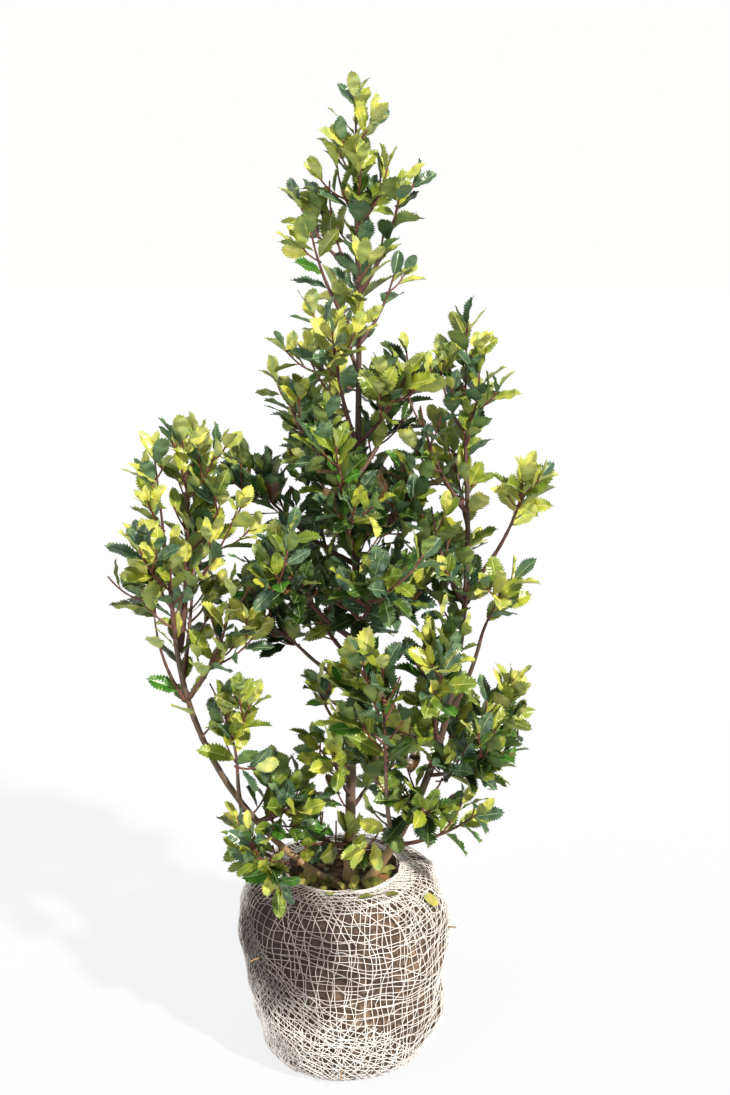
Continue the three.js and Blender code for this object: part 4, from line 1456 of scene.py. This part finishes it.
# %% The finish of old wood, and the limbs as pieces
OLD_WOOD_CLIMB = 0.75  # metres from the soil to where the wood has its upper colour
WOOD_BY_HEIGHT = [  # share of that climb, colour
    (0.0, (0.40, 0.26, 0.12)),
    (0.07, (0.30, 0.19, 0.09)),
    (0.15, (0.085, 0.052, 0.032)),
    (0.5, (0.038, 0.020, 0.016)),
    (1.0, (0.040, 0.016, 0.013)),
]
WOOD_STREAKS = (6, 6, (1, 1, 0.25))  # millimetres across, detail, and how they are drawn out
STREAK_COLOUR, STREAK_SHARE = (0.22, 0.15, 0.10), 0.4
WOOD_ROUGHNESS = 0.62
WOOD_RELIEF = 0.8


def old_wood():
    """Bark whose colour changes with height, with paler streaks."""
    finish = Finish("old_wood", WOOD_ROUGHNESS)
    split = finish.add("ShaderNodeSeparateXYZ", None, {"Vector": place(finish)})
    height = finish.value(split, "Z")
    climb = (height - GROUND * MM) * (1 / OLD_WOOD_CLIMB)
    wood = ramp(finish, climb, WOOD_BY_HEIGHT)
    streaks = mottle(finish, *WOOD_STREAKS)
    finish.set(Base_Color=blend(finish, wood, STREAK_COLOUR, streaks * STREAK_SHARE))
    raised(finish, streaks, WOOD_RELIEF)
    return finish


wood = old_wood()
for name, limb in limbs.items():
    heap = Heap()
    add_limb(heap, limb)
    heap.make(f"bark_{name}", "bark", [wood], [name])

# %% [markdown]
# ## The ball of soil
#
# The ball is a drum with rounded shoulders and a shallow hollow of soil on top. It is slightly lumpy,
# leans a little to the right, and has a waist there. A profile is turned round the height, and slow
# waves round the ball give the rest.

# %% The profile of the ball
PROFILE_SAMPLES = 80
TINY = 1e-9


def bezier_points(controls):
    """Radii and heights along a curve."""
    curve = Curve(*[(x, 0, z) for x, z in controls])
    return curve.at(np.linspace(0, 1, PROFILE_SAMPLES))[:, [0, 2]]


def ball_profile():
    """Radius and height from the middle of the foot, up the side and down into the soil's hollow."""
    ledge, soil, opening = BALL["ledge"], BALL["soil"], BALL["opening"]
    side, shoulder = bezier_points(BALL["side"]), bezier_points(BALL["shoulder"])[1:]
    within = [(opening, ledge), (opening - BALL["hollow"], soil), (0, soil)]
    return np.vstack([[[0, 0]], side, shoulder, within])


def evenly(profile, step):
    """The same line with points a step apart."""
    gaps = np.linalg.norm(np.diff(profile, axis=0), axis=1)
    run = np.concatenate([[0], np.cumsum(gaps)])
    places = np.linspace(0, run[-1], round(run[-1] / step) + 1)
    return np.stack([np.interp(places, run, profile[:, i]) for i in (0, 1)], -1)


PROFILE = evenly(ball_profile(), 1.0)
print(f"profile of {len(PROFILE)} mm from the foot to the middle of the soil")

# %% Lumps, lean and waist
SWELLS = [(1, 3, 60, 0), (0.6, 5, -38, 1), (0.4, 8, math.inf, 2)]  # size, lobes, climb, start
CLODS = [(1, 6, 21, 0), (0.8, 11, -14, 2), (0.6, 4, 11, 4)]
CLOD_SIZE = 1.6
CLOD_FADE = {"foot": 20, "ledge": 12}  # millimetres over which they fade to the ball's edges
WAIST = {"depth": 5.0, "height": 112, "reach": 20, "turn": 0.9}  # a cord has cut in on the right


def waves_round(angles, heights, rows):
    """Waves with so many lobes round the ball, which turn by a radian in so many millimetres."""
    return sum(
        size * np.sin(lobes * angles + heights / climb + start)
        for size, lobes, climb, start in rows
    )


def swell(angles, heights):
    """The slow lumps of the ball, as a share of its radius."""
    share = np.sin(np.pi * np.minimum(heights, BALL["ledge"]) / BALL["ledge"])
    return 1 + BALL["lump"] * share * waves_round(angles, heights, SWELLS)


def lean(heights):
    """How far the ball leans to the right at a height."""
    fading = np.maximum(0, 1 - heights / BALL["lean_to"])
    return BALL["lean"] * fading * np.minimum(1, heights / BALL["lean_from"])


def clods(angles, heights):
    """Lumps that show through the netting, and the waist, in millimetres outwards."""
    above_foot = np.clip(heights / CLOD_FADE["foot"], 0, 1)
    share = above_foot * np.clip((BALL["ledge"] - heights) / CLOD_FADE["ledge"], 0, 1)
    rise = (heights - WAIST["height"]) / WAIST["reach"]
    away = np.arctan2(np.sin(angles), np.cos(angles)) / WAIST["turn"]
    waist = WAIST["depth"] * np.exp(-(rise**2) - away**2)
    return share * (CLOD_SIZE * waves_round(angles, heights, CLODS) - waist)


# %% [markdown]
# ## Points on the ball
#
# Soil, netting and fallen leaves all lie on the ball, so one function places them: it takes an angle
# round the ball, the way along the profile, and how far out of the surface a point is. All three may
# be whole arrays. The netting lies on the surface, so the soil stays a little inside it, and noise
# presses lumps and crumbs into it.

# %% One function that places them
def along_profile(runs):
    """Radius and height at places along the profile, kept between its two ends."""
    steps = np.arange(len(PROFILE))
    runs = np.clip(runs, 0, len(PROFILE) - 1)
    return np.interp(runs, steps, PROFILE[:, 0]), np.interp(runs, steps, PROFILE[:, 1])


def on_ball(angles, runs, out=0.0):
    """Points on the ball: by an angle and by millimetres along its profile."""
    runs = np.clip(runs, 0, len(PROFILE) - 1)
    radius, height = along_profile(runs)
    ahead, behind = along_profile(runs + 1), along_profile(runs - 1)
    run_out, run_up = ahead[0] - behind[0], ahead[1] - behind[1]
    steep = np.hypot(run_out, run_up) + TINY
    radius = (radius + out * run_up / steep) * swell(angles, height) + clods(angles, height)
    middle = lean(height)
    height = height - out * run_out / steep
    x = radius * np.cos(angles) + middle
    return np.stack([x, radius * np.sin(angles), np.maximum(height, 0)], -1)


left, right = (on_ball(angle, np.arange(len(PROFILE)))[:, 0] for angle in (math.pi, 0.0))
print(f"the ball reaches from {left.min():.0f} to {right.max():.0f} mm across")

# %% The mesh of the soil
SOIL_COLUMNS = 250
SOIL_STEP = 2.6
SOIL_INSIDE = 1.6  # how far the soil keeps inside the netting
LUMP_DEPTH, LUMP_SCALE = 1.3, 0.07  # millimetres, and noise per millimetre
LUMP_NOISE = (1.0, 2.1, 4)  # how rough, how much finer each octave, and how many
CRUMB_DEPTH, CRUMB_SCALE, CRUMB_SHIFT = 0.7, 0.45, 9
MOST_PUSH = 1.1  # crumbs that stood out further would hide the netting
FOOT_RADIUS = BALL["side"][0][0]
FLAT_FOOT = 0.4  # share of the foot's radius that stays flat


def soil_relief(points):
    """Lumps and crumbs, in millimetres."""
    lumps = [noise.fractal(Vector(p * LUMP_SCALE), *LUMP_NOISE) for p in points]
    crumbs = [noise.noise(Vector(p * CRUMB_SCALE + CRUMB_SHIFT)) for p in points]
    return LUMP_DEPTH * np.array(lumps) + CRUMB_DEPTH * np.array(crumbs)


def soil_ball():
    """The ball as one net of points, pushed in and out by the relief."""
    heap = Heap()
    runs = np.arange(0, len(PROFILE), SOIL_STEP)
    angles = np.linspace(0, 2 * np.pi, SOIL_COLUMNS, endpoint=False)
    run_net, angle_net = np.meshgrid(runs, angles, indexing="ij")
    smooth = on_ball(angle_net, run_net, -SOIL_INSIDE).reshape(-1, 3)
    push = np.minimum(soil_relief(smooth), MOST_PUSH).reshape(run_net.shape)
    push = push * np.clip(run_net / FOOT_RADIUS - FLAT_FOOT, 0, 1)
    points = on_ball(angle_net, run_net, push - SOIL_INSIDE)
    heap.add(points, net_faces(len(runs), SOIL_COLUMNS, closed=True))
    return heap


# %% [markdown]
# ## Wet soil and a painted shadow
#
# The upper left of the ball, in front, is nearly black in soil and twine: partly damp soil, partly a
# painted shadow of the foliage above. A mask says where. It falls off with the distance from a point
# inside the ball, and a cloudy pattern frays its edge. Elsewhere the soil is dark peat with brown
# crumbs and patches of pale dust.

# %% The damp side, with a painted shadow
# where soil and twine are darkened: damp soil, and a painted shadow of the foliage above
DAMP_SHADOW_PATCH = {
    "at": (-0.074, -0.092, 0.190),  # metres
    "reach": 0.094,
    "end": 1.25,  # in reaches: where the soil is dry
    "ragged": 0.9,  # how much a cloudy pattern moves that edge, in reaches
    "patches": (30, 3),  # millimetres across, and detail
    "gain": 1.6,
}


def damp_and_shadow(finish):
    """1 in the middle of the damp side and its painted shadow, 0 where the ball is dry."""
    sockets = {0: place(finish), 1: DAMP_SHADOW_PATCH["at"]}
    away = finish.add("ShaderNodeVectorMath", {"operation": "DISTANCE"}, sockets)
    edge = mottle(finish, *DAMP_SHADOW_PATCH["patches"]) * DAMP_SHADOW_PATCH["ragged"] - DAMP_SHADOW_PATCH["ragged"] / 2
    near = finish.value(away, "Value") * (-1 / DAMP_SHADOW_PATCH["reach"]) + edge + DAMP_SHADOW_PATCH["end"]
    clamp = finish.add("ShaderNodeClamp", None, {"Value": near * DAMP_SHADOW_PATCH["gain"]})
    return finish.value(clamp, "Result")


# %% Peat, dust, and mud with a painted shadow
PEAT = {"dark": (0.010, 0.006, 0.005), "brown": (0.115, 0.066, 0.040)}
DUST_COLOUR = (0.32, 0.21, 0.135)
# the mud is wet soil, darkened further by a painted shadow
MUD_AND_SHADOW, MUD_AND_SHADOW_SHARE = (0.016, 0.009, 0.009), 0.96  # its colour, and how much of it the damp side has
CRUMBS, FINE_CRUMBS = (3.2, 8), (1.1, 4)  # millimetres across, and detail
DUSTING, DUST_PATCHES = (8, 5), (38, 3)
PEAT_GAIN, PEAT_SHIFT = 2.0, 0.5
DUSTING_GAIN, DUST_PATCH_GAIN, DUST_SHIFT = 2.6, 1.2, 1.8
FINE_CRUMB_HEIGHT = 0.6
SOIL_ROUGHNESS = 0.95
SOIL_DEPTH = 1.6


def soil_finish():
    """Dark peat, brown crumbs, pale dust, and mud with a painted shadow on the damp side."""
    finish = Finish("soil", SOIL_ROUGHNESS)
    crumbs = mottle(finish, *CRUMBS)
    patches = mottle(finish, *DUST_PATCHES)
    peat = blend(finish, PEAT["dark"], PEAT["brown"], crumbs * PEAT_GAIN - PEAT_SHIFT)
    dust = patches * DUST_PATCH_GAIN + mottle(finish, *DUSTING) * DUSTING_GAIN - DUST_SHIFT
    dusty = blend(finish, peat, DUST_COLOUR, dust)
    # painted shadow: the damp side is darkened as if the foliage above shaded it
    finish.set(Base_Color=blend(finish, dusty, MUD_AND_SHADOW, damp_and_shadow(finish) * MUD_AND_SHADOW_SHARE))
    raised(finish, crumbs + mottle(finish, *FINE_CRUMBS) * FINE_CRUMB_HEIGHT, SOIL_DEPTH)
    return finish


soil_ball().make("soil_ball", "soil", [soil_finish()], ["root_ball"])

# %% [markdown]
# ## Netting
#
# The ball is wrapped in a wide-meshed cotton net that goes round more than once. Each layer is a
# sheet: two sets of threads that cross, laid on the ball at a slant. A real sheet is pulled about as
# it is tied, so its threads crowd together in one place and leave wide meshes in another. That comes
# from a slow wave that shifts all threads of a sheet alike, and each thread adds a small wander.

# %% One thread
THREAD = 0.55  # half the thickness
THREAD_SIDES = 3
THREAD_STEP = 5.0
WANDERS = (210, 120, 70, 40, 22)  # millimetres from wave to wave, the strongest first
FULL_TURN = 6.3  # enough to start a wave anywhere
BALL_CORE, BALL_SQUAT = np.array([0, 0, 40]), (1, 1, 0.4)  # which way is out of the ball, roughly


def wander(places, size, draws):
    """A slow random wander along a thread, from places in millimetres."""
    shift = np.zeros(len(places))
    for wave in WANDERS:
        strength, start = draws.normal(), draws.uniform(0, FULL_TURN)
        ripple = np.sin(places * 2 * np.pi / wave + start)
        shift += strength * ripple * math.sqrt(wave / WANDERS[0])
    return size * shift


def add_thread(heap, points, radius=THREAD):
    """A tube through points that lie close together."""
    along = unit(np.gradient(points, axis=0))
    out = unit(points * BALL_SQUAT - BALL_CORE)
    side = unit(np.cross(along, out))
    up = np.cross(side, along)
    angles = np.linspace(0, 2 * np.pi, THREAD_SIDES, endpoint=False)[None, :, None]
    ring = side[:, None] * np.cos(angles) + up[:, None] * np.sin(angles)
    heap.add(points[:, None] + ring * radius, net_faces(len(points), THREAD_SIDES, closed=True))


# %% Where the net lies
ROUND = BALL["side"][-1][0]  # radius by which millimetres round the ball are turned to angles
NET_FOOT = 54  # where on the profile the netting begins, under the ball
NET_ON_LEDGE, NEARLY = 24, 0.01
LEDGE_STARTS = float(np.argmax(PROFILE[:, 1] >= BALL["ledge"] - NEARLY))
NET_RIM = LEDGE_STARTS + NET_ON_LEDGE
TWIST_REACH = 120  # millimetres under the rim in which a sheet is twisted
LIP, LIP_REACH = 1.4, 7  # the netting is raised to a soft lip along its edge
IN_PITCH = (0.3, 0.7)  # where in its part of the sheet a thread starts
OVER = 0.5  # the threads that go round lie over the upright ones
LOOSE = 0.2
FEWEST_POINTS = 3
print(f"net from {NET_FOOT} to {NET_RIM:.0f} mm along the profile")

# %% How a sheet is pulled about
PULLS = {  # millimetres for a radian of the broad waves, of the bend in them, and of the fine waves
    "round": (29, 41, (13, 37)),
    "up": (23, 57, (11, -43)),
}
BENDS = {"round": 1.4, "up": 1.6}
FINE_PULL = 0.6
SAGS = [(1, 83), (0.5, 37)]  # size, and millimetres for a radian
SAG_SHARE = 1.5


def slow_waves(way, along, across, phases):
    """Broad waves whose fronts are bent, and finer slanting ones."""
    broad, bend, fine = PULLS[way]
    front = np.sin(across / bend + phases[0]) * BENDS[way]
    waves = np.sin(along / broad + front + phases[1])
    return waves + FINE_PULL * np.sin(along / fine[0] + across / fine[1] + phases[2])


# %% A sheet of net
class Sheet:
    """Crossing threads on a flat sheet, and where the sheet lies on the ball."""

    def __init__(self, start, low, size, pitch, slant, twist, pull, wander, out, seed):
        self.start = math.radians(start)  # angle of its lower left corner
        self.low = low  # that corner's place on the profile
        self.size = size  # millimetres round and up
        self.pitch = pitch
        self.slant = math.radians(slant)
        self.twist = twist
        self.pull = pull  # how far the threads are pulled about
        self.wander = wander
        self.out = out
        self.draws = np.random.default_rng(seed)
        self.phases = self.draws.uniform(0, 2 * np.pi, 8)

    def pulled(self, u, v):
        """Shifts points of the sheet by slow waves."""
        shift = slow_waves("round", u, v, self.phases[:3])
        rise = slow_waves("up", v, u, self.phases[3:6])
        sag = sum(
            size * np.sin(u / wave + phase) for (size, wave), phase in zip(SAGS, self.phases[6:])
        )
        return u + self.pull * shift, v + self.pull * (rise + SAG_SHARE * sag)

    def on_the_ball(self, u, v, out):
        """Points on the ball, only those between the net's two edges."""
        u, v = self.pulled(u, v)
        round_by = u * math.cos(self.slant) - v * math.sin(self.slant)
        run = self.low + u * math.sin(self.slant) + v * math.cos(self.slant)
        inside = (run > NET_FOOT) & (run < NET_RIM)
        near_rim = np.clip(1 - (NET_RIM - run) / TWIST_REACH, 0, 1)
        angle = self.start + round_by / ROUND + self.twist * near_rim**2
        lip = LIP * np.exp(-(((NET_RIM - run) / LIP_REACH) ** 2))
        points = on_ball(angle, run, out + lip)[inside]
        points[:, 2] = np.maximum(points[:, 2], THREAD)  # the lowest threads lie on the floor
        return points

    def weave(self, heap):
        """Adds the upright threads, then those that go round."""
        for across in (False, True):
            length, width = self.size if across else self.size[::-1]
            places = np.arange(0, length, THREAD_STEP)
            for i in range(int(width / self.pitch)):
                middle = (i + self.draws.uniform(*IN_PITCH)) * self.pitch
                line = middle + wander(places, self.wander, self.draws)
                out = self.out + (OVER if across else 0.0) + self.draws.uniform(-LOOSE, LOOSE)
                u, v = (places, line) if across else (line, places)
                points = self.on_the_ball(u, v, out)
                if len(points) >= FEWEST_POINTS:
                    add_thread(heap, points)


# %% [markdown]
# ## Wrapping the ball
#
# Two large sheets go all the way round, one with fine meshes and one with wide ones at a slant. Three
# smaller pieces lie over them: the end of the net, whose upper edge shows in front, and the folds
# that were gathered along the rim. Clean twine is nearly white and turns grey-brown where it is worn.

# %% The sheets that wrap the ball
SHEETS = [  # start, low, size, pitch, slant, twist, pull, wander, out, seed
    Sheet(-215, 40, (830, 360), 9.8, 2, 0.25, 3.0, 1.4, 0.9, 11),
    Sheet(-150, 60, (800, 340), 17.0, -13, -0.8, 4.0, 2.2, 1.4, 12),
    Sheet(-212, 232, (440, 150), 7.6, -37, 0, 2.4, 1.4, 1.9, 13),  # its upper edge shows in front
    Sheet(-84, 344, (330, 38), 7.4, 3, -0.6, 1.8, 1.2, 2.4, 15),  # gathered folds along the rim
    Sheet(-52, 284, (180, 66), 8.6, 14, -0.35, 2.2, 1.4, 2.6, 16),
]

# %% Twine, and the netting as a piece
TWINE = {
    "shaded": (0.80, 0.75, 0.71),
    "clean": (0.97, 0.94, 0.92),
    "worn": (0.42, 0.33, 0.28),
    # wet twine, darkened further by a painted shadow
    "wet_and_shadowed": (0.15, 0.115, 0.11),
}
DIRT, TWINE_FIBRES = (26, 4), (0.7, 3)  # millimetres across, and detail
DIRT_GAIN, DIRT_SHIFT = 1.6, 0.75
TWINE_ROUGHNESS = 0.88
TWINE_RELIEF = 0.3
# how far the twine on the damp side takes that wet colour with its painted shadow
WET_AND_SHADOW_SHARE = 0.92


def twine_finish():
    """Cotton, clean in one place and worn in another, grey where wet and with a painted shadow."""
    finish = Finish("twine", TWINE_ROUGHNESS)
    dirt = mottle(finish, *DIRT)
    fibres = mottle(finish, *TWINE_FIBRES)
    clean = blend(finish, TWINE["shaded"], TWINE["clean"], fibres)
    worn = blend(finish, clean, TWINE["worn"], dirt * DIRT_GAIN - DIRT_SHIFT)
    # painted shadow: the twine on the damp side is darkened as if shaded
    finish.set(Base_Color=blend(finish, worn, TWINE["wet_and_shadowed"], damp_and_shadow(finish) * WET_AND_SHADOW_SHARE))
    raised(finish, fibres, TWINE_RELIEF)
    return finish


twine = twine_finish()
net = Heap()
for sheet in SHEETS:
    sheet.weave(net)
net.make("netting", "twine", [twine])

# %% [markdown]
# ## The gathered rim
#
# Where the netting ends it is drawn together round the stems. Its last rows lie side by side there
# as a flat band of threads, which cross over one another now and then.

# %% Threads of the rim
RIM_THREADS = 7
RIM_STEP = 4
RIM_SEED = 31
RIM_THICKEST = 0.5  # radians from the right
RIM_THICKNESS = (0.6, 0.4)  # the mean, and how much it changes round the rim
RIM_TURNS = [-1, 0, 1]  # how often a thread winds round the band
RIM_WINDING = 0.35  # how unevenly
RIM_BULK = (0.25, 1.0)  # how far from the middle of the band it does
RIM_STRAY, MOST_STRAY = 1.0, 2
RIM_OVAL = 0.8
RIM_DROOP = 0.16  # in three places round the rim, and in seven
RIM_ABOVE = 0.4


def add_rim(heap, draws):
    """Threads that wind round one another in a flat band."""
    steps = int(2 * np.pi * COLLAR["radius"] / RIM_STEP)
    angles = np.linspace(0, 2 * np.pi, steps)
    places = angles * COLLAR["radius"]
    thickness = RIM_THICKNESS[0] + RIM_THICKNESS[1] * np.cos(angles - RIM_THICKEST)
    droop = 1 + RIM_DROOP * np.sin(3 * angles + 1) + RIM_DROOP * np.sin(7 * angles)
    for _ in range(RIM_THREADS):
        start, turns = draws.uniform(0, FULL_TURN), draws.choice(RIM_TURNS)
        winding = start + angles * turns + wander(places, RIM_WINDING, draws)
        bulk = draws.uniform(*RIM_BULK)
        stray = np.clip(wander(places, RIM_STRAY, draws), -MOST_STRAY, MOST_STRAY)
        out = COLLAR["width"] / 2 * bulk * np.cos(winding) + stray
        up = COLLAR["height"] / 2 * (1 + bulk * np.sin(winding)) * thickness
        radius = COLLAR["radius"] + out - RIM_OVAL * np.sin(2 * angles + 1)
        z = BALL["ledge"] + GAP + up * droop + RIM_ABOVE
        add_thread(heap, np.stack([radius * np.cos(angles), radius * np.sin(angles), z], -1))


rim = Heap()
add_rim(rim, np.random.default_rng(RIM_SEED))
rim.make("net_rim", "twine", [twine], ["net_collar"])

# %% [markdown]
# ## Fallen leaves
#
# Some leaves have fallen on the soil between the stems, at random, and four lie on the netting in
# front. They are made by the same rules as the living ones, in straw, olive and brown.

# %% Leaves on the soil
LITTER_COUNT = 46
LITTER_SIZE = (17, 34)
LITTER_REACH = 60  # radius of the soil that they lie on
LITTER_FROM_STEM = 9
LITTER_TIP_UP = (-0.1, 0.45)
LITTER_TILT = 0.35
LITTER_ABOVE, LITTER_PILE = 3, 5  # the lowest lie 3 mm up, the others on top of one another
STEM_FEET = np.array([limbs[name].curve.at(0)[:2] for name, *_ in STEMS])


def litter_on_soil(draws):
    """Leaves that lie at random on the soil between the stems."""
    fallen = []
    while len(fallen) < LITTER_COUNT:
        out, turn = LITTER_REACH * math.sqrt(draws.random()), draws.uniform(0, 2 * np.pi)
        spot = np.array([out * math.cos(turn), out * math.sin(turn)])
        if np.linalg.norm(STEM_FEET - spot, axis=1).min() < LITTER_FROM_STEM:
            continue
        way, tip_up = draws.uniform(0, 2 * np.pi), draws.uniform(*LITTER_TIP_UP)
        size = draws.uniform(*LITTER_SIZE)
        along = unit(np.array([math.cos(way), math.sin(way), tip_up]))
        height = BALL["soil"] + LITTER_ABOVE + draws.uniform(0, LITTER_PILE)
        middle = np.array([*spot, height]) + UP * abs(tip_up) * size / 3
        face = unit(UP + draws.normal(0, LITTER_TILT, 3) - along * along[2])
        face = unit(face - along * (face @ along))
        fallen.append(Leaf(middle - along * size / 2, along, face, size, 0, 0))
    return fallen


# %% Leaves on the netting
ON_THE_NET = [  # angle and place on the profile, heading along the ball, size, how far out, kind
    (-29, 327, -38, 31, 5.5, "straw"),
    (-72, 359, 12, 27, 5.0, "olive"),
    (-100, 372, 100, 22, 4.5, "straw"),
    (-52, 352, 160, 20, 4.5, "olive"),
]
NEARBY_RUN, NEARBY_ANGLE = 4, 0.03  # steps by which the ball's slope is measured


def leaf_on_net(angle, run, way, size, out):
    """A leaf that lies flat on the ball."""
    angle, way = math.radians(angle), math.radians(way)
    here, further = on_ball(angle, run, out), on_ball(angle, run + NEARBY_RUN, out)
    beside = on_ball(angle + NEARBY_ANGLE, run, out)
    up, right = unit(further - here), unit(beside - here)
    along = unit(right * math.cos(way) + up * math.sin(way))
    face = unit(np.cross(right, up))
    return Leaf(here - along * size / 2, along, face, size, 0, 0)


# %% Fallen leaves as pieces
LITTER_SEED = 5
LITTER = {  # blade, midrib, underside, roughness and sheen
    "straw": ((0.40, 0.36, 0.10), (0.45, 0.36, 0.16), (0.34, 0.30, 0.11), 0.55, 0.0),
    "olive": ((0.16, 0.17, 0.04), (0.28, 0.26, 0.10), (0.16, 0.16, 0.06), 0.5, 0.0),
    "brown": ((0.19, 0.10, 0.04), (0.24, 0.15, 0.07), (0.17, 0.10, 0.05), 0.6, 0.0),
}

litter_draws = np.random.default_rng(LITTER_SEED)
fallen = {kind: [] for kind in LITTER}
for leaf in litter_on_soil(litter_draws):
    fallen[litter_draws.choice(list(LITTER))].append(leaf)
for *spot, kind in ON_THE_NET:
    fallen[kind].append(leaf_on_net(*spot))
for kind, some in fallen.items():
    finishes = leaf_finishes(kind, *LITTER[kind])
    leaf_heap(some, litter_draws).make(f"fallen_{kind}", "foliage", finishes)

# %% [markdown]
# ## Stubs
#
# Ends of cut twigs stick out between the meshes. A stub starts inside the soil and turns up a little.

# %% Stubs of cut twigs
STUBS = [  # angle, place on the profile, length, radius
    (-12, 273, 9, 1.5),
    (-94, 124, 12, 1.2),
    (-140, 262, 12, 1.3),
    (40, 250, 14, 1.5),
    (118, 200, 15, 1.4),
]
STUB_INSIDE = 4
STUB_BOW, STUB_RISE = 2, 1.5
STUB_BARK = ((0.16, 0.09, 0.04), (0.36, 0.24, 0.12), 0.6, 3)

stubs = Heap()
for angle, run, length, radius in STUBS:
    angle = math.radians(angle)
    start, end = on_ball(angle, run, -STUB_INSIDE), on_ball(angle, run, length)
    curve = Curve(start, (start + end) / 2 + UP * STUB_BOW, end + UP * STUB_RISE)
    add_twig(stubs, Shoot(curve, radius, 0, 2, 0.0))
stubs.make("twig_stubs", "bark", [bark_finish("stub_bark", *STUB_BARK)])

# %% [markdown]
# ## Floor
#
# The shrub stands on a pale floor, which glows a little, so that it is as white as the room and still
# takes a soft shadow. It isn't part of the shrub.

# %% The floor
FLOOR_SIDE = 30  # metres
FLOOR_COLOUR = (0.07, 0.07, 0.075)
FLOOR_GLOW, GLOW_STRENGTH = (0.99, 0.99, 1.0), 0.83
FLOOR_ROUGHNESS = 0.9

floor_finish = Finish("floor", FLOOR_ROUGHNESS)
floor_finish.set(Base_Color=FLOOR_COLOUR)
floor_finish.set(Emission_Color=FLOOR_GLOW, Emission_Strength=GLOW_STRENGTH)
corner = FLOOR_SIDE / 2
floor_mesh = bpy.data.meshes.new("floor")
corners = [(-corner, -corner, 0), (corner, -corner, 0), (corner, corner, 0), (-corner, corner, 0)]
floor_mesh.from_pydata(corners, [], [(0, 1, 2, 3)])
floor_mesh.materials.append(floor_finish.material)
floor = bpy.data.objects.new("floor", floor_mesh)
bpy.context.scene.collection.objects.link(floor)
print(f"floor {FLOOR_SIDE} m on a side")
